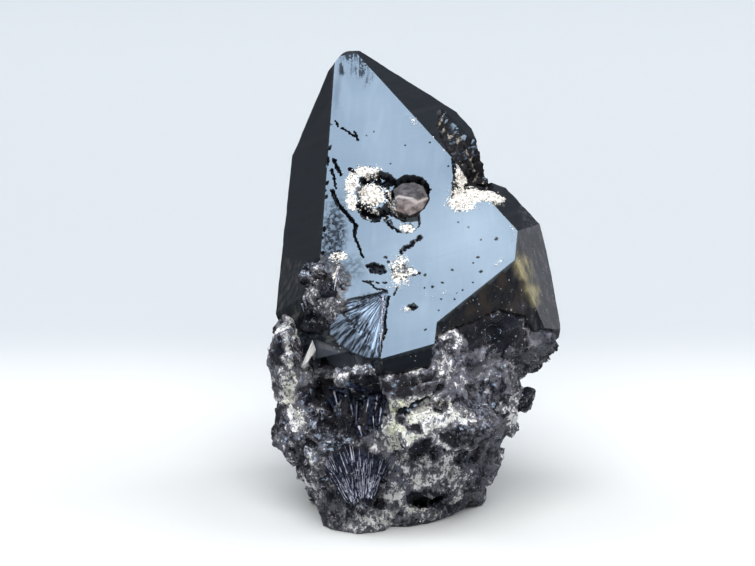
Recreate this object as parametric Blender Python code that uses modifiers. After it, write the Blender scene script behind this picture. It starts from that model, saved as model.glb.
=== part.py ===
"""Morion quartz: a black smoky quartz crystal with a smaller one grown along its flank, on their rough root.

The crystals are cut from a block by quartz's own face angles and then leaned into the attitude in which the
specimen rests. The root is a lumpy skin round them, broken flat underneath. All of it is one solid.
Metres, +Z up, origin at the centre of the box's underside. The large bright face looks to the front, -Y.
"""

import math

import bmesh
import bpy
from mathutils import Euler, Matrix, Vector, noise

MM = 0.001
NAME = "morion_quartz"

# The attitude at rest in degrees, and the place of the tip that the unworn faces would meet in, in mm
LEAN_BACK = 15.0
LEAN_LEFT = 14.5
TURN = 6.5
TIP = (-8.8, 20.0, 58.0)

# Quartz's face angles: how far a face's outward normal leans from the long axis
RHOMB = 51.8
PRISM = 90.0
BASAL = 180.0

# Faces: azimuth round the axis from the front, + to the right, the normal's lean, distance from the tip in mm
MAIN_CRYSTAL = {
    "front_rhomb": (0.0, RHOMB, 0.0),
    "right_rhomb": (60.0, RHOMB, 0.0),
    "left_rhomb": (-66.7, 56.3, 1.2),
    "back_left_rhomb": (-120.0, RHOMB, 0.2),
    "back_right_rhomb": (120.0, RHOMB, 0.0),
    "back_rhomb": (180.0, RHOMB, 0.6),
    "front_prism": (0.0, PRISM, 33.3),
    "right_prism": (60.0, PRISM, 15.6),
    "back_right_prism": (120.0, PRISM, 10.5),
    "back_prism": (180.0, PRISM, 4.0),
    "back_left_prism": (-120.0, PRISM, 10.5),
    "left_prism": (-60.0, PRISM, 24.0),
    "worn_tip": (20.0, 12.0, -1.4),
    "worn_tip_left": (-95.0, 38.0, -0.35),
    "worn_right_shoulder": (94.0, 66.0, 6.6),
    "worn_right_edge": (90.0, PRISM, 13.4),
    "root": (83.0, 160.0, 48.0),
}
SIDE_CRYSTAL = {
    "front_rhomb": (0.0, RHOMB, -0.1),
    "right_rhomb": (60.0, RHOMB, -0.1),
    "right_prism": (60.0, PRISM, 24.4),
    "back_right_prism": (120.0, PRISM, 6.0),
    "worn_right_edge": (90.0, 96.0, 20.6),
    "worn_front_edge": (30.0, 84.0, 29.6),
    "lower_facet": (22.2, 101.5, 36.3),
    "front_prism": (0.0, PRISM, 33.0),
    "hidden_side": (-90.0, PRISM, 3.0),
    "back_prism": (180.0, PRISM, -8.0),
    "notch_floor": (44.0, 22.5, -15.6),
    "root": (10.0, 165.0, 52.0),
}

# The block that a crystal is cut from
BLOCK = 200.0

# Grooves across the foot of the front prism face: top and bottom along the axis, and depth, in mm
PRISM_GROOVES = ((-46.6, -47.3, 0.9), (-47.9, -48.5, 0.7), (-49.2, -50.2, 1.0))

GROOVE_REACH = 30.0

# What has broken out of the crystals, in their own frame: centre and radii in mm
CRYSTAL_BREAKS = {
    "right_edge": ((13.0, -10.6, -18.6), (2.0, 4.4, 6.4)),
    "right_edge_low": ((12.4, -13.4, -24.0), (1.9, 2.8, 3.2)),
}
# A flat recess in the left prism face, as the faces of what came away, like those of the crystals
LEFT_RECESS = {
    "floor": (120.0, PRISM, -22.2),
    "outer": (-60.0, PRISM, 30.0),
    "top": (-60.0, 12.0, -34.6),
    "right": (30.0, PRISM, 18.1),
    "left": (-150.0, PRISM, -7.7),
    "bottom": (0.0, BASAL, 52.0),
}

# Pits in the bright face: how far across and down it from the tip, radii across and down it, and depth, in mm
PITS = {
    "plug_pit": ((-2.4, 27.6), (2.4, 3.9), 1.7),
    "nub_pit": ((1.8, 29.6), (2.5, 3.4), 2.0),
    "pit_tail": ((0.8, 33.0), (2.1, 1.7), 1.2),
}
PIT_SIDES = 13
# A pit's floor against its mouth, how far its cutter stands above the face, and how jagged its outline is
PIT_FLOOR = 0.7
PIT_ABOVE = 1.0
PIT_JAG = 0.5
PIT_JAGS = 3.0
# The cream plug in the first pit: its place on the face, how far its centre is sunk, its radii
PLUG = ((-2.8, 26.6), 0.7, (1.6, 1.8, 1.3))
# The little crystal in the second pit: its place on the face, how far its tip is sunk, and its own faces
NUB_PLACE = ((1.7, 29.3), 0.2)
NUB = {
    "upper": (150.0, 24.0, -0.1),
    "lower": (-30.0, 30.0, -0.2),
    "right": (80.0, 34.0, -0.5),
    "side_a": (0.0, PRISM, 1.9),
    "side_b": (60.0, PRISM, 2.0),
    "side_c": (120.0, PRISM, 1.9),
    "side_d": (180.0, PRISM, 1.8),
    "side_e": (-120.0, PRISM, 1.9),
    "side_f": (-60.0, PRISM, 1.9),
    "foot": (0.0, BASAL, 2.8),
}

# The root's core, upwards: height, left, right, front and back of each ring in mm
CORE_RINGS = (
    (-1.5, -12.6, 6.8, -17.6, 10.0),
    (4.0, -15.2, 8.2, -19.8, 12.8),
    (9.0, -16.4, 10.4, -20.5, 14.4),
    (15.0, -17.2, 12.4, -19.0, 15.6),
    (21.0, -17.6, 15.6, -11.0, 15.5),
    (27.0, -16.0, 15.4, -6.0, 13.0),
    (32.0, -10.0, 12.0, -3.0, 9.0),
)
RING_SIDES = 28
RING_SQUARENESS = 0.8

# Swellings of the root: centre and radii in mm
SWELLINGS = {
    "front_foot": ((-7.2, -15.4, 1.2), (4.6, 6.8, 5.6)),
    "left_crust": ((-17.0, -7.0, 20.0), (2.4, 4.6, 5.5)),
    "left_crust_low": ((-14.2, -9.0, 11.6), (3.8, 6.5, 5.6)),
    "fan_wall": ((-7.0, -17.6, 9.0), (7.5, 5.0, 5.0)),
    "crust_ledge": ((3.2, -20.4, 15.0), (8.5, 5.4, 3.4)),
    "crust_ridge_left": ((-8.4, -17.6, 20.6), (1.5, 2.2, 1.5)),
    "crust_ridge": ((-5.8, -20.2, 21.8), (2.2, 2.0, 1.6)),
    "crust_ridge_right": ((-2.6, -21.8, 20.2), (1.8, 2.0, 1.5)),
    "flame_crust": ((5.6, -18.4, 20.4), (2.2, 3.4, 5.4)),
    "right_wall": ((8.6, -12.6, 16.4), (6.2, 6.0, 7.4)),
    "right_lump": ((7.2, -11.0, 8.5), (4.6, 6.0, 5.5)),
    "nodule": ((15.2, -9.0, 15.2), (1.4, 1.6, 1.9)),
    "low_nodule": ((8.8, -9.0, 2.6), (1.3, 1.4, 1.6)),
    "back_patch": ((-6.0, 12.6, 20.0), (6.0, 4.0, 5.0)),
}
ROOT_CELL = 0.6
ROOT_TRIANGLES = 6000
# The root's relief: how many a mm, and how far in or out in mm
SWELLS = (0.16, 0.8)
CHIPS = (0.30, 1.3)
FLAKES = (0.75, 0.5)
CHIP_MIDDLE = 0.42

# Hollows in the root: centre and radii in mm
HOLLOWS = {
    "cavity": ((-11.2, -14.4, 17.2), (2.7, 4.0, 3.2)),
    "ledge_hole": ((1.4, -21.8, 11.6), (2.2, 2.6, 1.4)),
    "foot_slot": ((2.2, -18.6, 3.4), (3.0, 3.0, 0.9)),
    "foot_hole": ((-4.6, -20.6, 4.4), (1.0, 1.9, 1.0)),
}
# Unevenness of small lumps and hollows: how many lumps a radius, and their height against the radius
LUMPS = 1.7
LUMP_HEIGHT = 0.5
CRUST_HEIGHT = 0.7
BREAK_HEIGHT = 0.8

# Crust grown on the crystals: centre and radii in mm
CRUSTS = {
    "notch": ((8.0, -2.4, 41.6), (2.8, 3.2, 1.5)),
    "notch_tail": ((11.2, -1.6, 40.9), (1.8, 2.4, 0.8)),
    "bright_face_low": ((-11.7, -12.0, 31.2), (2.5, 2.2, 2.9)),
}
# Shards standing in the hollow beside the front prism face: foot, tip and width in mm
SHARDS = (
    ((-9.4, -18.6, 12.8), (-9.2, -18.4, 18.2), 0.8),
    ((-8.3, -19.8, 12.4), (-8.8, -20.0, 19.0), 1.0),
    ((-6.9, -20.4, 12.8), (-6.7, -20.6, 17.6), 0.7),
    ((-6.2, -20.8, 13.0), (-5.7, -21.0, 19.6), 1.1),
    ((-4.4, -21.6, 13.6), (-4.8, -21.8, 18.4), 0.8),
    ((-13.0, -11.6, 18.2), (-13.6, -11.8, 22.4), 0.8),
)
# The fan of needles low on the front: the point they spread from, how far from it they start, their length,
# the spread to each side in degrees, the lean forward and how it alternates, how many, how uneven, how wide
FAN_FOOT = (-7.2, -21.9, 3.2)
FAN_START = 1.3
FAN_LENGTH = 6.8
FAN_SPREAD = 42.0
FAN_LEAN = -0.13
FAN_STAGGER = 0.02
FAN_NEEDLES = 9
FAN_UNEVEN = 0.15
FAN_WIDTH = 0.55
SPIKE_SIDES = 5
SPIKE_TAPER = 0.3

FLOOR = 0.0
WELD = 0.01


def clear_scene():
    for obj in list(bpy.data.objects):
        bpy.data.objects.remove(obj)


def new_object(name, mesh, collection):
    obj = bpy.data.objects.new(name, mesh)
    collection.objects.link(obj)
    return obj


def mesh_object(name, bm, collection):
    mesh = bpy.data.meshes.new(name)
    bm.to_mesh(mesh)
    bm.free()
    return new_object(name, mesh, collection)


def apply_modifiers(obj):
    graph = bpy.context.evaluated_depsgraph_get()
    mesh = bpy.data.meshes.new_from_object(obj.evaluated_get(graph))
    obj.modifiers.clear()
    obj.data = mesh


def face_normal(azimuth, lean):
    azimuth, lean = math.radians(azimuth), math.radians(lean)
    return Vector((math.sin(lean) * math.sin(azimuth), -math.sin(lean) * math.cos(azimuth), math.cos(lean)))


def attitude():
    """From the crystal's frame, with its tip at the origin and its long axis up, to the frame at rest."""
    lean = Euler((math.radians(-LEAN_BACK), math.radians(-LEAN_LEFT), math.radians(TURN)), "XYZ")
    return Matrix.Translation(Vector(TIP) * MM) @ lean.to_matrix().to_4x4()


def cut_away(bm, point, normal):
    """Keeps what lies behind the plane and closes the cut with one flat face."""
    everything = [*bm.verts, *bm.edges, *bm.faces]
    cut = bmesh.ops.bisect_plane(bm, geom=everything, plane_co=point, plane_no=normal, clear_outer=True)
    rim = [edge for edge in cut["geom_cut"] if isinstance(edge, bmesh.types.BMEdge)]
    if rim:
        bmesh.ops.edgeloop_fill(bm, edges=rim)


def crystal(name, faces, collection):
    """A block cut down face by face."""
    bm = bmesh.new()
    bmesh.ops.create_cube(bm, size=BLOCK * MM)
    for azimuth, lean, distance in faces.values():
        normal = face_normal(azimuth, lean)
        cut_away(bm, normal * distance * MM, normal)
    bmesh.ops.recalc_face_normals(bm, faces=bm.faces)
    bm.transform(attitude())
    return mesh_object(name, bm, collection)


def squared(value):
    return math.copysign(abs(value) ** RING_SQUARENESS, value)


def add_core(bm):
    """The stack of rings, bridged and capped."""
    rims = []
    for height, left, right, front, back in CORE_RINGS:
        ring = bmesh.ops.create_circle(bm, segments=RING_SIDES, radius=1)["verts"]
        for vert in ring:
            across = (left + right) / 2 + squared(vert.co.x) * (right - left) / 2
            along = (front + back) / 2 + squared(vert.co.y) * (back - front) / 2
            vert.co = Vector((across, along, height)) * MM
        rims.append(list({edge for vert in ring for edge in vert.link_edges}))
    for lower, upper in zip(rims, rims[1:]):
        bmesh.ops.bridge_loops(bm, edges=lower + upper)
    for rim in (rims[0], rims[-1]):
        bmesh.ops.edgeloop_fill(bm, edges=rim)
    bmesh.ops.recalc_face_normals(bm, faces=bm.faces)


def rough_ball(name, centre, radii, collection, height=LUMP_HEIGHT):
    """A small lump or hollow with an uneven skin."""
    bm = bmesh.new()
    bmesh.ops.create_icosphere(bm, subdivisions=2, radius=1)
    for vert in bm.verts:
        vert.co *= 1 + height * noise.noise(vert.co * LUMPS + Vector(centre))
    bmesh.ops.scale(bm, vec=Vector(radii) * MM, verts=bm.verts)
    bmesh.ops.translate(bm, vec=Vector(centre) * MM, verts=bm.verts)
    return mesh_object(name, bm, collection)


def spike(name, foot, tip, width, collection):
    """A tapered prism from its foot to its tip."""
    foot, tip = Vector(foot) * MM, Vector(tip) * MM
    bm = bmesh.new()
    bmesh.ops.create_cone(
        bm, cap_ends=True, segments=SPIKE_SIDES, radius1=width * MM, radius2=SPIKE_TAPER * width * MM,
        depth=(tip - foot).length,
    )
    turn = (tip - foot).to_track_quat("Z", "Y").to_matrix().to_4x4()
    bm.transform(Matrix.Translation((foot + tip) / 2) @ turn)
    return mesh_object(name, bm, collection)


def on_bright_face(across, down, sunk=0.0):
    """A frame on the bright face, its Z along the face's normal and its Y up the slope."""
    normal = face_normal(0.0, RHOMB)
    side = Vector((1.0, 0.0, 0.0))
    up = normal.cross(side)
    place = (side * across - up * down - normal * sunk) * MM
    frame = Matrix((side, up, normal)).transposed().to_4x4()
    return attitude() @ Matrix.Translation(place) @ frame


def pit(name, place, radii, depth, collection):
    """A cutter with a jagged outline that narrows downwards."""
    bm = bmesh.new()
    bmesh.ops.create_cone(
        bm, cap_ends=True, segments=PIT_SIDES, radius1=PIT_FLOOR, radius2=1.0, depth=(depth + PIT_ABOVE) * MM
    )
    for vert in bm.verts:
        jag = 1 + PIT_JAG * noise.noise(Vector((vert.co.x * PIT_JAGS, vert.co.y * PIT_JAGS, sum(place))))
        vert.co.x *= radii[0] * jag * MM
        vert.co.y *= radii[1] * jag * MM
        vert.co.z += (PIT_ABOVE - depth) / 2 * MM
    bm.transform(on_bright_face(*place))
    return mesh_object(name, bm, collection)


def groove(name, top, bottom, depth, collection):
    """A flat cutter that takes a strip out of the front prism face."""
    face = MAIN_CRYSTAL["front_prism"][2]
    bm = bmesh.new()
    bmesh.ops.create_cube(bm, size=MM)
    bmesh.ops.scale(bm, vec=(GROOVE_REACH, 2 * depth, top - bottom), verts=bm.verts)
    bmesh.ops.translate(bm, vec=Vector((0, -face, (top + bottom) / 2)) * MM, verts=bm.verts)
    bm.transform(attitude())
    return mesh_object(name, bm, collection)


def add_swelling(bm, centre, radii):
    ball = bmesh.ops.create_icosphere(bm, subdivisions=3, radius=MM)["verts"]
    bmesh.ops.scale(bm, vec=radii, verts=ball)
    bmesh.ops.translate(bm, vec=Vector(centre) * MM, verts=ball)


def roughen(mesh):
    """Moves the skin in and out: broad swells, flat-bottomed chips and a fine grain."""
    normals = [vert.normal.copy() for vert in mesh.vertices]
    for vert, normal in zip(mesh.vertices, normals):
        place = vert.co / MM
        offset = SWELLS[1] * noise.fractal(place * SWELLS[0], 0.9, 2.0, 3)
        for density, depth in (CHIPS, FLAKES):
            offset += depth * (noise.voronoi(place * density)[0][0] - CHIP_MIDDLE)
        vert.co += normal * offset * MM


def rough_root(collection):
    bm = bmesh.new()
    add_core(bm)
    for centre, radii in SWELLINGS.values():
        add_swelling(bm, centre, radii)
    root = mesh_object("root", bm, collection)
    skin = root.modifiers.new("one skin", "REMESH")
    skin.mode = "VOXEL"
    skin.voxel_size = ROOT_CELL * MM
    apply_modifiers(root)
    roughen(root.data)
    thin = root.modifiers.new("fewer faces", "DECIMATE")
    thin.ratio = ROOT_TRIANGLES / (2 * len(root.data.polygons))
    thin.use_collapse_triangulate = True
    apply_modifiers(root)
    return root


def combine(obj, other, operation):
    """A Boolean with other, which is then removed."""
    boolean = obj.modifiers.new(operation.lower(), "BOOLEAN")
    boolean.operation = operation
    boolean.object = other
    apply_modifiers(obj)
    bpy.data.objects.remove(other)


def grow_crystals(cutters, collection):
    quartz = crystal(NAME, MAIN_CRYSTAL, collection)
    for top, bottom, depth in PRISM_GROOVES:
        combine(quartz, groove("groove", top, bottom, depth, cutters), "DIFFERENCE")
    for name, (centre, radii) in CRYSTAL_BREAKS.items():
        broken = rough_ball(name, centre, radii, cutters, BREAK_HEIGHT)
        broken.data.transform(attitude())
        combine(quartz, broken, "DIFFERENCE")
    combine(quartz, crystal("recess", LEFT_RECESS, cutters), "DIFFERENCE")
    combine(quartz, crystal("side_crystal", SIDE_CRYSTAL, collection), "UNION")
    return quartz


def fill_pits(quartz, cutters, collection):
    for name, (place, radii, depth) in PITS.items():
        combine(quartz, pit(name, place, radii, depth, cutters), "DIFFERENCE")
    place, sunk, radii = PLUG
    plug = rough_ball("plug", (0, 0, 0), radii, collection)
    plug.data.transform(on_bright_face(*place, sunk))
    combine(quartz, plug, "UNION")
    place, sunk = NUB_PLACE
    nub = crystal("nub", NUB, collection)
    nub.data.transform(on_bright_face(*place, sunk) @ attitude().inverted())
    combine(quartz, nub, "UNION")


def grow_fan(quartz, collection):
    """Needles side by side, spreading upwards from just above one foot."""
    for step in range(FAN_NEEDLES):
        side = math.radians(FAN_SPREAD) * (2 * step / (FAN_NEEDLES - 1) - 1)
        along = Vector((math.sin(side), FAN_LEAN + FAN_STAGGER * (-1) ** step, math.cos(side)))
        foot = Vector(FAN_FOOT) + FAN_START * along
        length = FAN_LENGTH * (1 - FAN_UNEVEN + FAN_UNEVEN * math.cos(5 * step))
        combine(quartz, spike("needle", foot, foot + length * along, FAN_WIDTH, collection), "UNION")


def cut_floor(quartz, cutters):
    bm = bmesh.new()
    bmesh.ops.create_cube(bm, size=BLOCK * MM)
    bmesh.ops.translate(bm, vec=Vector((0, 0, FLOOR - BLOCK / 2)) * MM, verts=bm.verts)
    combine(quartz, mesh_object("floor", bm, cutters), "DIFFERENCE")


def fill_voids(bm):
    """Keeps the outer skin alone, so that a void sealed between two needles or crusts is solid."""
    waiting = set(bm.faces)
    skins = []
    while waiting:
        skin = []
        edge_of_growth = [waiting.pop()]
        while edge_of_growth:
            face = edge_of_growth.pop()
            skin.append(face)
            beside = {other for edge in face.edges for other in edge.link_faces} & waiting
            waiting -= beside
            edge_of_growth.extend(beside)
        skins.append(skin)
    skins.sort(key=len)
    for skin in skins[:-1]:
        bmesh.ops.delete(bm, geom=skin, context="FACES")


def settle(quartz):
    """Welds what the cuts left, and puts the origin under the middle of the box."""
    bm = bmesh.new()
    bm.from_mesh(quartz.data)
    bmesh.ops.remove_doubles(bm, verts=bm.verts, dist=WELD * MM)
    bmesh.ops.dissolve_degenerate(bm, edges=bm.edges, dist=WELD * MM)
    bmesh.ops.triangulate(bm, faces=bm.faces)
    fill_voids(bm)
    lows = [min(vert.co[axis] for vert in bm.verts) for axis in range(3)]
    highs = [max(vert.co[axis] for vert in bm.verts) for axis in range(3)]
    middle = Vector(((lows[0] + highs[0]) / 2, (lows[1] + highs[1]) / 2, lows[2]))
    bmesh.ops.translate(bm, vec=-middle, verts=bm.verts)
    bm.to_mesh(quartz.data)
    bm.free()


def smoky_quartz():
    material = bpy.data.materials.new("smoky_quartz")
    material.use_nodes = True
    shader = material.node_tree.nodes["Principled BSDF"]
    shader.inputs["Base Color"].default_value = (0.012, 0.011, 0.012, 1)
    shader.inputs["Roughness"].default_value = 0.12
    shader.inputs["IOR"].default_value = 1.54
    return material


def main():
    clear_scene()
    collection = bpy.data.collections.new(NAME)
    cutters = bpy.data.collections.new("cutters")
    for group in (collection, cutters):
        bpy.context.scene.collection.children.link(group)
    quartz = grow_crystals(cutters, collection)
    combine(quartz, rough_root(collection), "UNION")
    for name, (centre, radii) in HOLLOWS.items():
        combine(quartz, rough_ball(name, centre, radii, cutters), "DIFFERENCE")
    fill_pits(quartz, cutters, collection)
    for name, (centre, radii) in CRUSTS.items():
        combine(quartz, rough_ball(name, centre, radii, collection, CRUST_HEIGHT), "UNION")
    for foot, tip, width in SHARDS:
        combine(quartz, spike("shard", foot, tip, width, collection), "UNION")
    grow_fan(quartz, collection)
    cut_floor(quartz, cutters)
    settle(quartz)
    quartz.data.materials.clear()
    quartz.data.materials.append(smoky_quartz())
    print("faces", len(quartz.data.polygons))


main()
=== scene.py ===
import math
import random

import bmesh
import bpy
import numpy as np
from mathutils import Euler, Matrix, Vector, bvhtree, geometry, kdtree, noise


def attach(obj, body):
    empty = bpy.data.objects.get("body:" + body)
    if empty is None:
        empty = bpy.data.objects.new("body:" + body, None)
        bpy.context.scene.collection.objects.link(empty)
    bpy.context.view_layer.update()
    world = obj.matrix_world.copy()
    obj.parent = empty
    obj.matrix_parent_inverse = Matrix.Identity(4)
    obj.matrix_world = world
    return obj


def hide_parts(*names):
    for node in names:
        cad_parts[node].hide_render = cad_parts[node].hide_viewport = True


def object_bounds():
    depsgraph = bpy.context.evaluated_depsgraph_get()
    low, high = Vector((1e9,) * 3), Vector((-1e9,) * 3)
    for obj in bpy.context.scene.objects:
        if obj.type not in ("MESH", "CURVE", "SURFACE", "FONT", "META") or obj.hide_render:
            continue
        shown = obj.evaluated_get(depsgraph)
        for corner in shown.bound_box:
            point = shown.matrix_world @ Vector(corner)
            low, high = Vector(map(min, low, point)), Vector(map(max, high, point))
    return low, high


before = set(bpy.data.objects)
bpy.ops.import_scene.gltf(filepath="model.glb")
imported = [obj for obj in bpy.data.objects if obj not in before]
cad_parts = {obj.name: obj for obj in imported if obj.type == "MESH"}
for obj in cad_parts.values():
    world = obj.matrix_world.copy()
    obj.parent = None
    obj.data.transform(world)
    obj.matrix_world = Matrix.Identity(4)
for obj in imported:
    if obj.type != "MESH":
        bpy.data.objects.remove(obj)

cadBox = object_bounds()
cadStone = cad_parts["morion_quartz"]
toMetres = Matrix.Scale(0.001, 4)  # everything is worked out in mm, and made metres at the end

# the photograph's view; regions and marks on the stone are given by its pixels, u to the right and v down
shot = {
    "place": (-4.795, -583.616, 185.59),
    "tilt": 75.0,
    "lens": 211.92,
    "sensor": 36.0,
    "size": (755, 566),
}
shotDown = math.radians(90 - shot["tilt"])
shotAhead = np.array((0, math.cos(shotDown), -math.sin(shotDown)))
shotUp = np.array((0, math.sin(shotDown), math.cos(shotDown)))
shotFocal = shot["size"][0] * shot["lens"] / shot["sensor"]


def pixelsOf(points):  # where points of the stone are seen in the photograph
    away = points - np.array(shot["place"])
    depth = away @ shotAhead
    u = shot["size"][0] / 2 + shotFocal * away[:, 0] / depth
    v = shot["size"][1] / 2 - shotFocal * (away @ shotUp) / depth
    return np.stack((u, v), 1)


def rayThrough(u, v):  # the way from the camera through a pixel
    across = (u - shot["size"][0] / 2) / shotFocal
    upwards = (shot["size"][1] / 2 - v) / shotFocal
    return Vector(shotAhead + across * np.array((1, 0, 0)) + upwards * shotUp)


def noiseAt(points, size, seed=0.0):  # smooth noise from -1 to 1 with lumps of that size
    shift = Vector((seed, 2.3 * seed, -1.7 * seed))
    if points.shape[1] == 2:
        points = np.column_stack((points, np.zeros(len(points))))
    return np.array([noise.noise(Vector(p) + shift) for p in points / size])


def layered(points, layers):  # noises on top of each other, each with its stretch, size, seed and strength
    return sum(strength * noiseAt(points * stretch, size, seed) for stretch, size, seed, strength in layers)


def ragged(at, size, reach, seed=0.0):  # the same places, shifted so that an outline on them turns ragged
    shift = np.stack((noiseAt(at, size, seed), noiseAt(at, size, seed + 31)), 1)
    return at + reach * shift


def ramp(value, low, high):  # 0 below low, 1 above high, smooth between
    t = np.clip((value - low) / (high - low), 0, 1)
    return t * t * (3 - 2 * t)


def turned(degrees):  # turns pixels so that lines at that slope run level
    c, s = math.cos(math.radians(degrees)), math.sin(math.radians(degrees))
    return np.array(((c, -s), (s, c)))


def blot(at, centre, radii, turn=0.0, soft=0.35):  # 1 inside an ellipse, fading out across its rim
    away = (at - np.array(centre)) @ turned(turn) / np.array(radii)
    return 1 - ramp(np.hypot(away[:, 0], away[:, 1]), 1 - soft, 1 + soft)


def strongest(at, marks, soft):  # the strongest of several blots at each place
    best = np.zeros(len(at))
    for centre, radii, turn, *strength in marks:
        best = np.maximum(best, (strength or [1])[0] * blot(at, centre, radii, turn, soft))
    return best


def distanceTo(at, points, closed=False, withShare=False):  # to a line through points, and how far along it
    points = [np.array(p, float) for p in points]
    ends = points[1:] + points[:1] if closed else points[1:]
    best = np.full(len(at), 1e9)
    share = np.zeros(len(at))
    for number, (start, end) in enumerate(zip(points, ends)):
        along = end - start
        t = np.clip((at - start) @ along / max(along @ along, 1e-9), 0, 1)
        gap = np.linalg.norm(at - start - t[:, None] * along, axis=1)
        share = np.where(gap < best, (number + t) / len(ends), share)
        best = np.minimum(best, gap)
    return (best, share) if withShare else best


def stroke(at, points, wide, thin=None):  # 1 on a line that tapers from one width to another, 0 beside it
    gap, share = distanceTo(at, points, withShare=True)
    half = 0.5 * (wide + ((thin if thin else wide) - wide) * share)
    return 1 - ramp(gap / half, 0.45, 1.15)


def inside(at, outline):
    x, y = at[:, 0], at[:, 1]
    hit = np.zeros(len(at), bool)
    for (x1, y1), (x2, y2) in zip(outline, outline[1:] + outline[:1]):
        if y1 != y2:
            hit ^= ((y1 > y) != (y2 > y)) & (x < (x2 - x1) * (y - y1) / (y2 - y1) + x1)
    return hit


def patch(at, outline, soft=2.0):  # 1 inside an outline, fading out across it
    gap = distanceTo(at, outline, closed=True)
    return ramp(np.where(inside(at, outline), gap, -gap), -soft, soft)


# the crystals' shared attitude, and their faces: azimuth from the front, lean of the normal, distance from the tip
growth = {"tip": (-9.055, 21.484, 58.0), "lean": (-15.0, -14.5, 6.5)}
rhomb, prism, basal = 51.8, 90.0, 180.0
mainCrystal = {
    "frontRhomb": (0.0, rhomb, 0.0),
    "rightRhomb": (60.0, rhomb, 0.0),
    "leftRhomb": (-66.7, 56.3, 1.2),
    "backLeftRhomb": (-120.0, rhomb, 0.2),
    "backRightRhomb": (120.0, rhomb, 0.0),
    "backRhomb": (180.0, rhomb, 0.6),
    "frontPrism": (0.0, prism, 33.3),
    "rightPrism": (60.0, prism, 15.6),
    "backRightPrism": (120.0, prism, 10.5),
    "backPrism": (180.0, prism, 4.0),
    "backLeftPrism": (-120.0, prism, 10.5),
    "leftPrism": (-60.0, prism, 24.0),
    "wornTip": (20.0, 12.0, -1.4),
    "wornTipLeft": (-95.0, 38.0, -0.35),
    "wornRightShoulder": (94.0, 66.0, 6.6),
    "wornRightEdge": (90.0, prism, 13.4),
    "root": (83.0, 160.0, 46.0),
}
sideCrystal = {
    "frontRhomb": (0.0, rhomb, 0.0),
    "rightRhomb": (60.0, rhomb, -0.1),
    "rightPrism": (60.0, prism, 24.4),
    "backRightPrism": (120.0, prism, 6.0),
    "wornRightEdge": (90.0, 96.0, 21.1),
    "wornFrontEdge": (30.0, 84.0, 29.6),
    "lowerFacet": (22.2, 101.5, 36.3),
    "frontPrism": (0.0, prism, 33.0),
    "hiddenSide": (-90.0, prism, 3.0),
    "backPrism": (180.0, prism, -8.0),
    "notchFloor": (44.0, 22.5, -15.6),
    "root": (10.0, 165.0, 50.0),
}
attitude = Matrix.Translation(growth["tip"]) @ Euler([math.radians(a) for a in growth["lean"]]).to_matrix().to_4x4()
intoCrystal = attitude.inverted()


def faceNormal(azimuth, lean):
    azimuth, lean = math.radians(azimuth), math.radians(lean)
    return Vector((math.sin(lean) * math.sin(azimuth), -math.sin(lean) * math.cos(azimuth), math.cos(lean)))


def inCrystal(points):  # points of the stone in the crystals' own frame
    turn = np.array(intoCrystal)
    return points @ turn[:3, :3].T + turn[:3, 3]


def outward(face):  # the way a face looks on the stone
    return attitude.to_3x3() @ faceNormal(*face[:2])


def offFace(points, face):  # how far points stand out of the plane of one face, in mm
    azimuth, lean, distance = face
    return inCrystal(points) @ np.array(faceNormal(azimuth, lean)) - distance


def proud(points, faces):  # how far points stand out of a crystal, negative inside
    return np.max([offFace(points, face) for face in faces.values()], 0)


def newObject(name, mesh):
    obj = bpy.data.objects.new(name, mesh)
    bpy.context.scene.collection.objects.link(obj)
    return obj


def evaluated(obj):  # a plain mesh of what its modifiers make, which are then gone
    graph = bpy.context.evaluated_depsgraph_get()
    mesh = bpy.data.meshes.new_from_object(obj.evaluated_get(graph))
    obj.modifiers.clear()
    obj.data = mesh
    return mesh


def objectFrom(bm, name):
    mesh = bpy.data.meshes.new(name)
    bm.to_mesh(mesh)
    bm.free()
    return newObject(name, mesh)


def cutOff(bm, place, normal):  # takes away what lies beyond a plane, and closes the cut
    everything = [*bm.verts, *bm.edges, *bm.faces]
    cut = bmesh.ops.bisect_plane(bm, geom=everything, plane_co=place, plane_no=normal, clear_outer=True)
    rim = [edge for edge in cut["geom_cut"] if isinstance(edge, bmesh.types.BMEdge)]
    if rim:
        bmesh.ops.edgeloop_fill(bm, edges=rim)


def cutBlock(name, faces):  # a block cut by each of the faces in turn
    bm = bmesh.new()
    bmesh.ops.create_cube(bm, size=200)
    for azimuth, lean, distance in faces.values():
        normal = faceNormal(azimuth, lean)
        cutOff(bm, normal * distance, normal)
    bmesh.ops.recalc_face_normals(bm, faces=bm.faces)
    bm.transform(attitude)
    return objectFrom(bm, name)


def dress(obj, material):
    obj.data.materials.clear()
    obj.data.materials.append(material)


def combine(obj, other, operation):
    boolean = obj.modifiers.new("join", "BOOLEAN")
    boolean.operation = operation
    boolean.object = other
    evaluated(obj)
    bpy.data.objects.remove(other)


def joinSeams(mesh):  # corners that lie on another face's edge split it, and faces in one plane become one
    bm = bmesh.new()
    bm.from_mesh(mesh)
    bmesh.ops.remove_doubles(bm, verts=bm.verts, dist=0.001)
    for corner in list(bm.verts):
        for edge in list(bm.edges):
            first, last = edge.verts
            along = last.co - first.co
            share = (corner.co - first.co).dot(along) / along.length_squared
            beside = (first.co + along * share - corner.co).length
            if corner not in edge.verts and 0 < share < 1 and beside < 0.003:
                bmesh.utils.edge_split(edge, first, share)
    bmesh.ops.remove_doubles(bm, verts=bm.verts, dist=0.005)
    bmesh.ops.dissolve_limit(bm, angle_limit=0.002, verts=bm.verts, edges=bm.edges)
    print("seams left open", sum(len(edge.link_faces) != 2 for edge in bm.edges))
    bm.to_mesh(mesh)
    bm.free()


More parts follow.
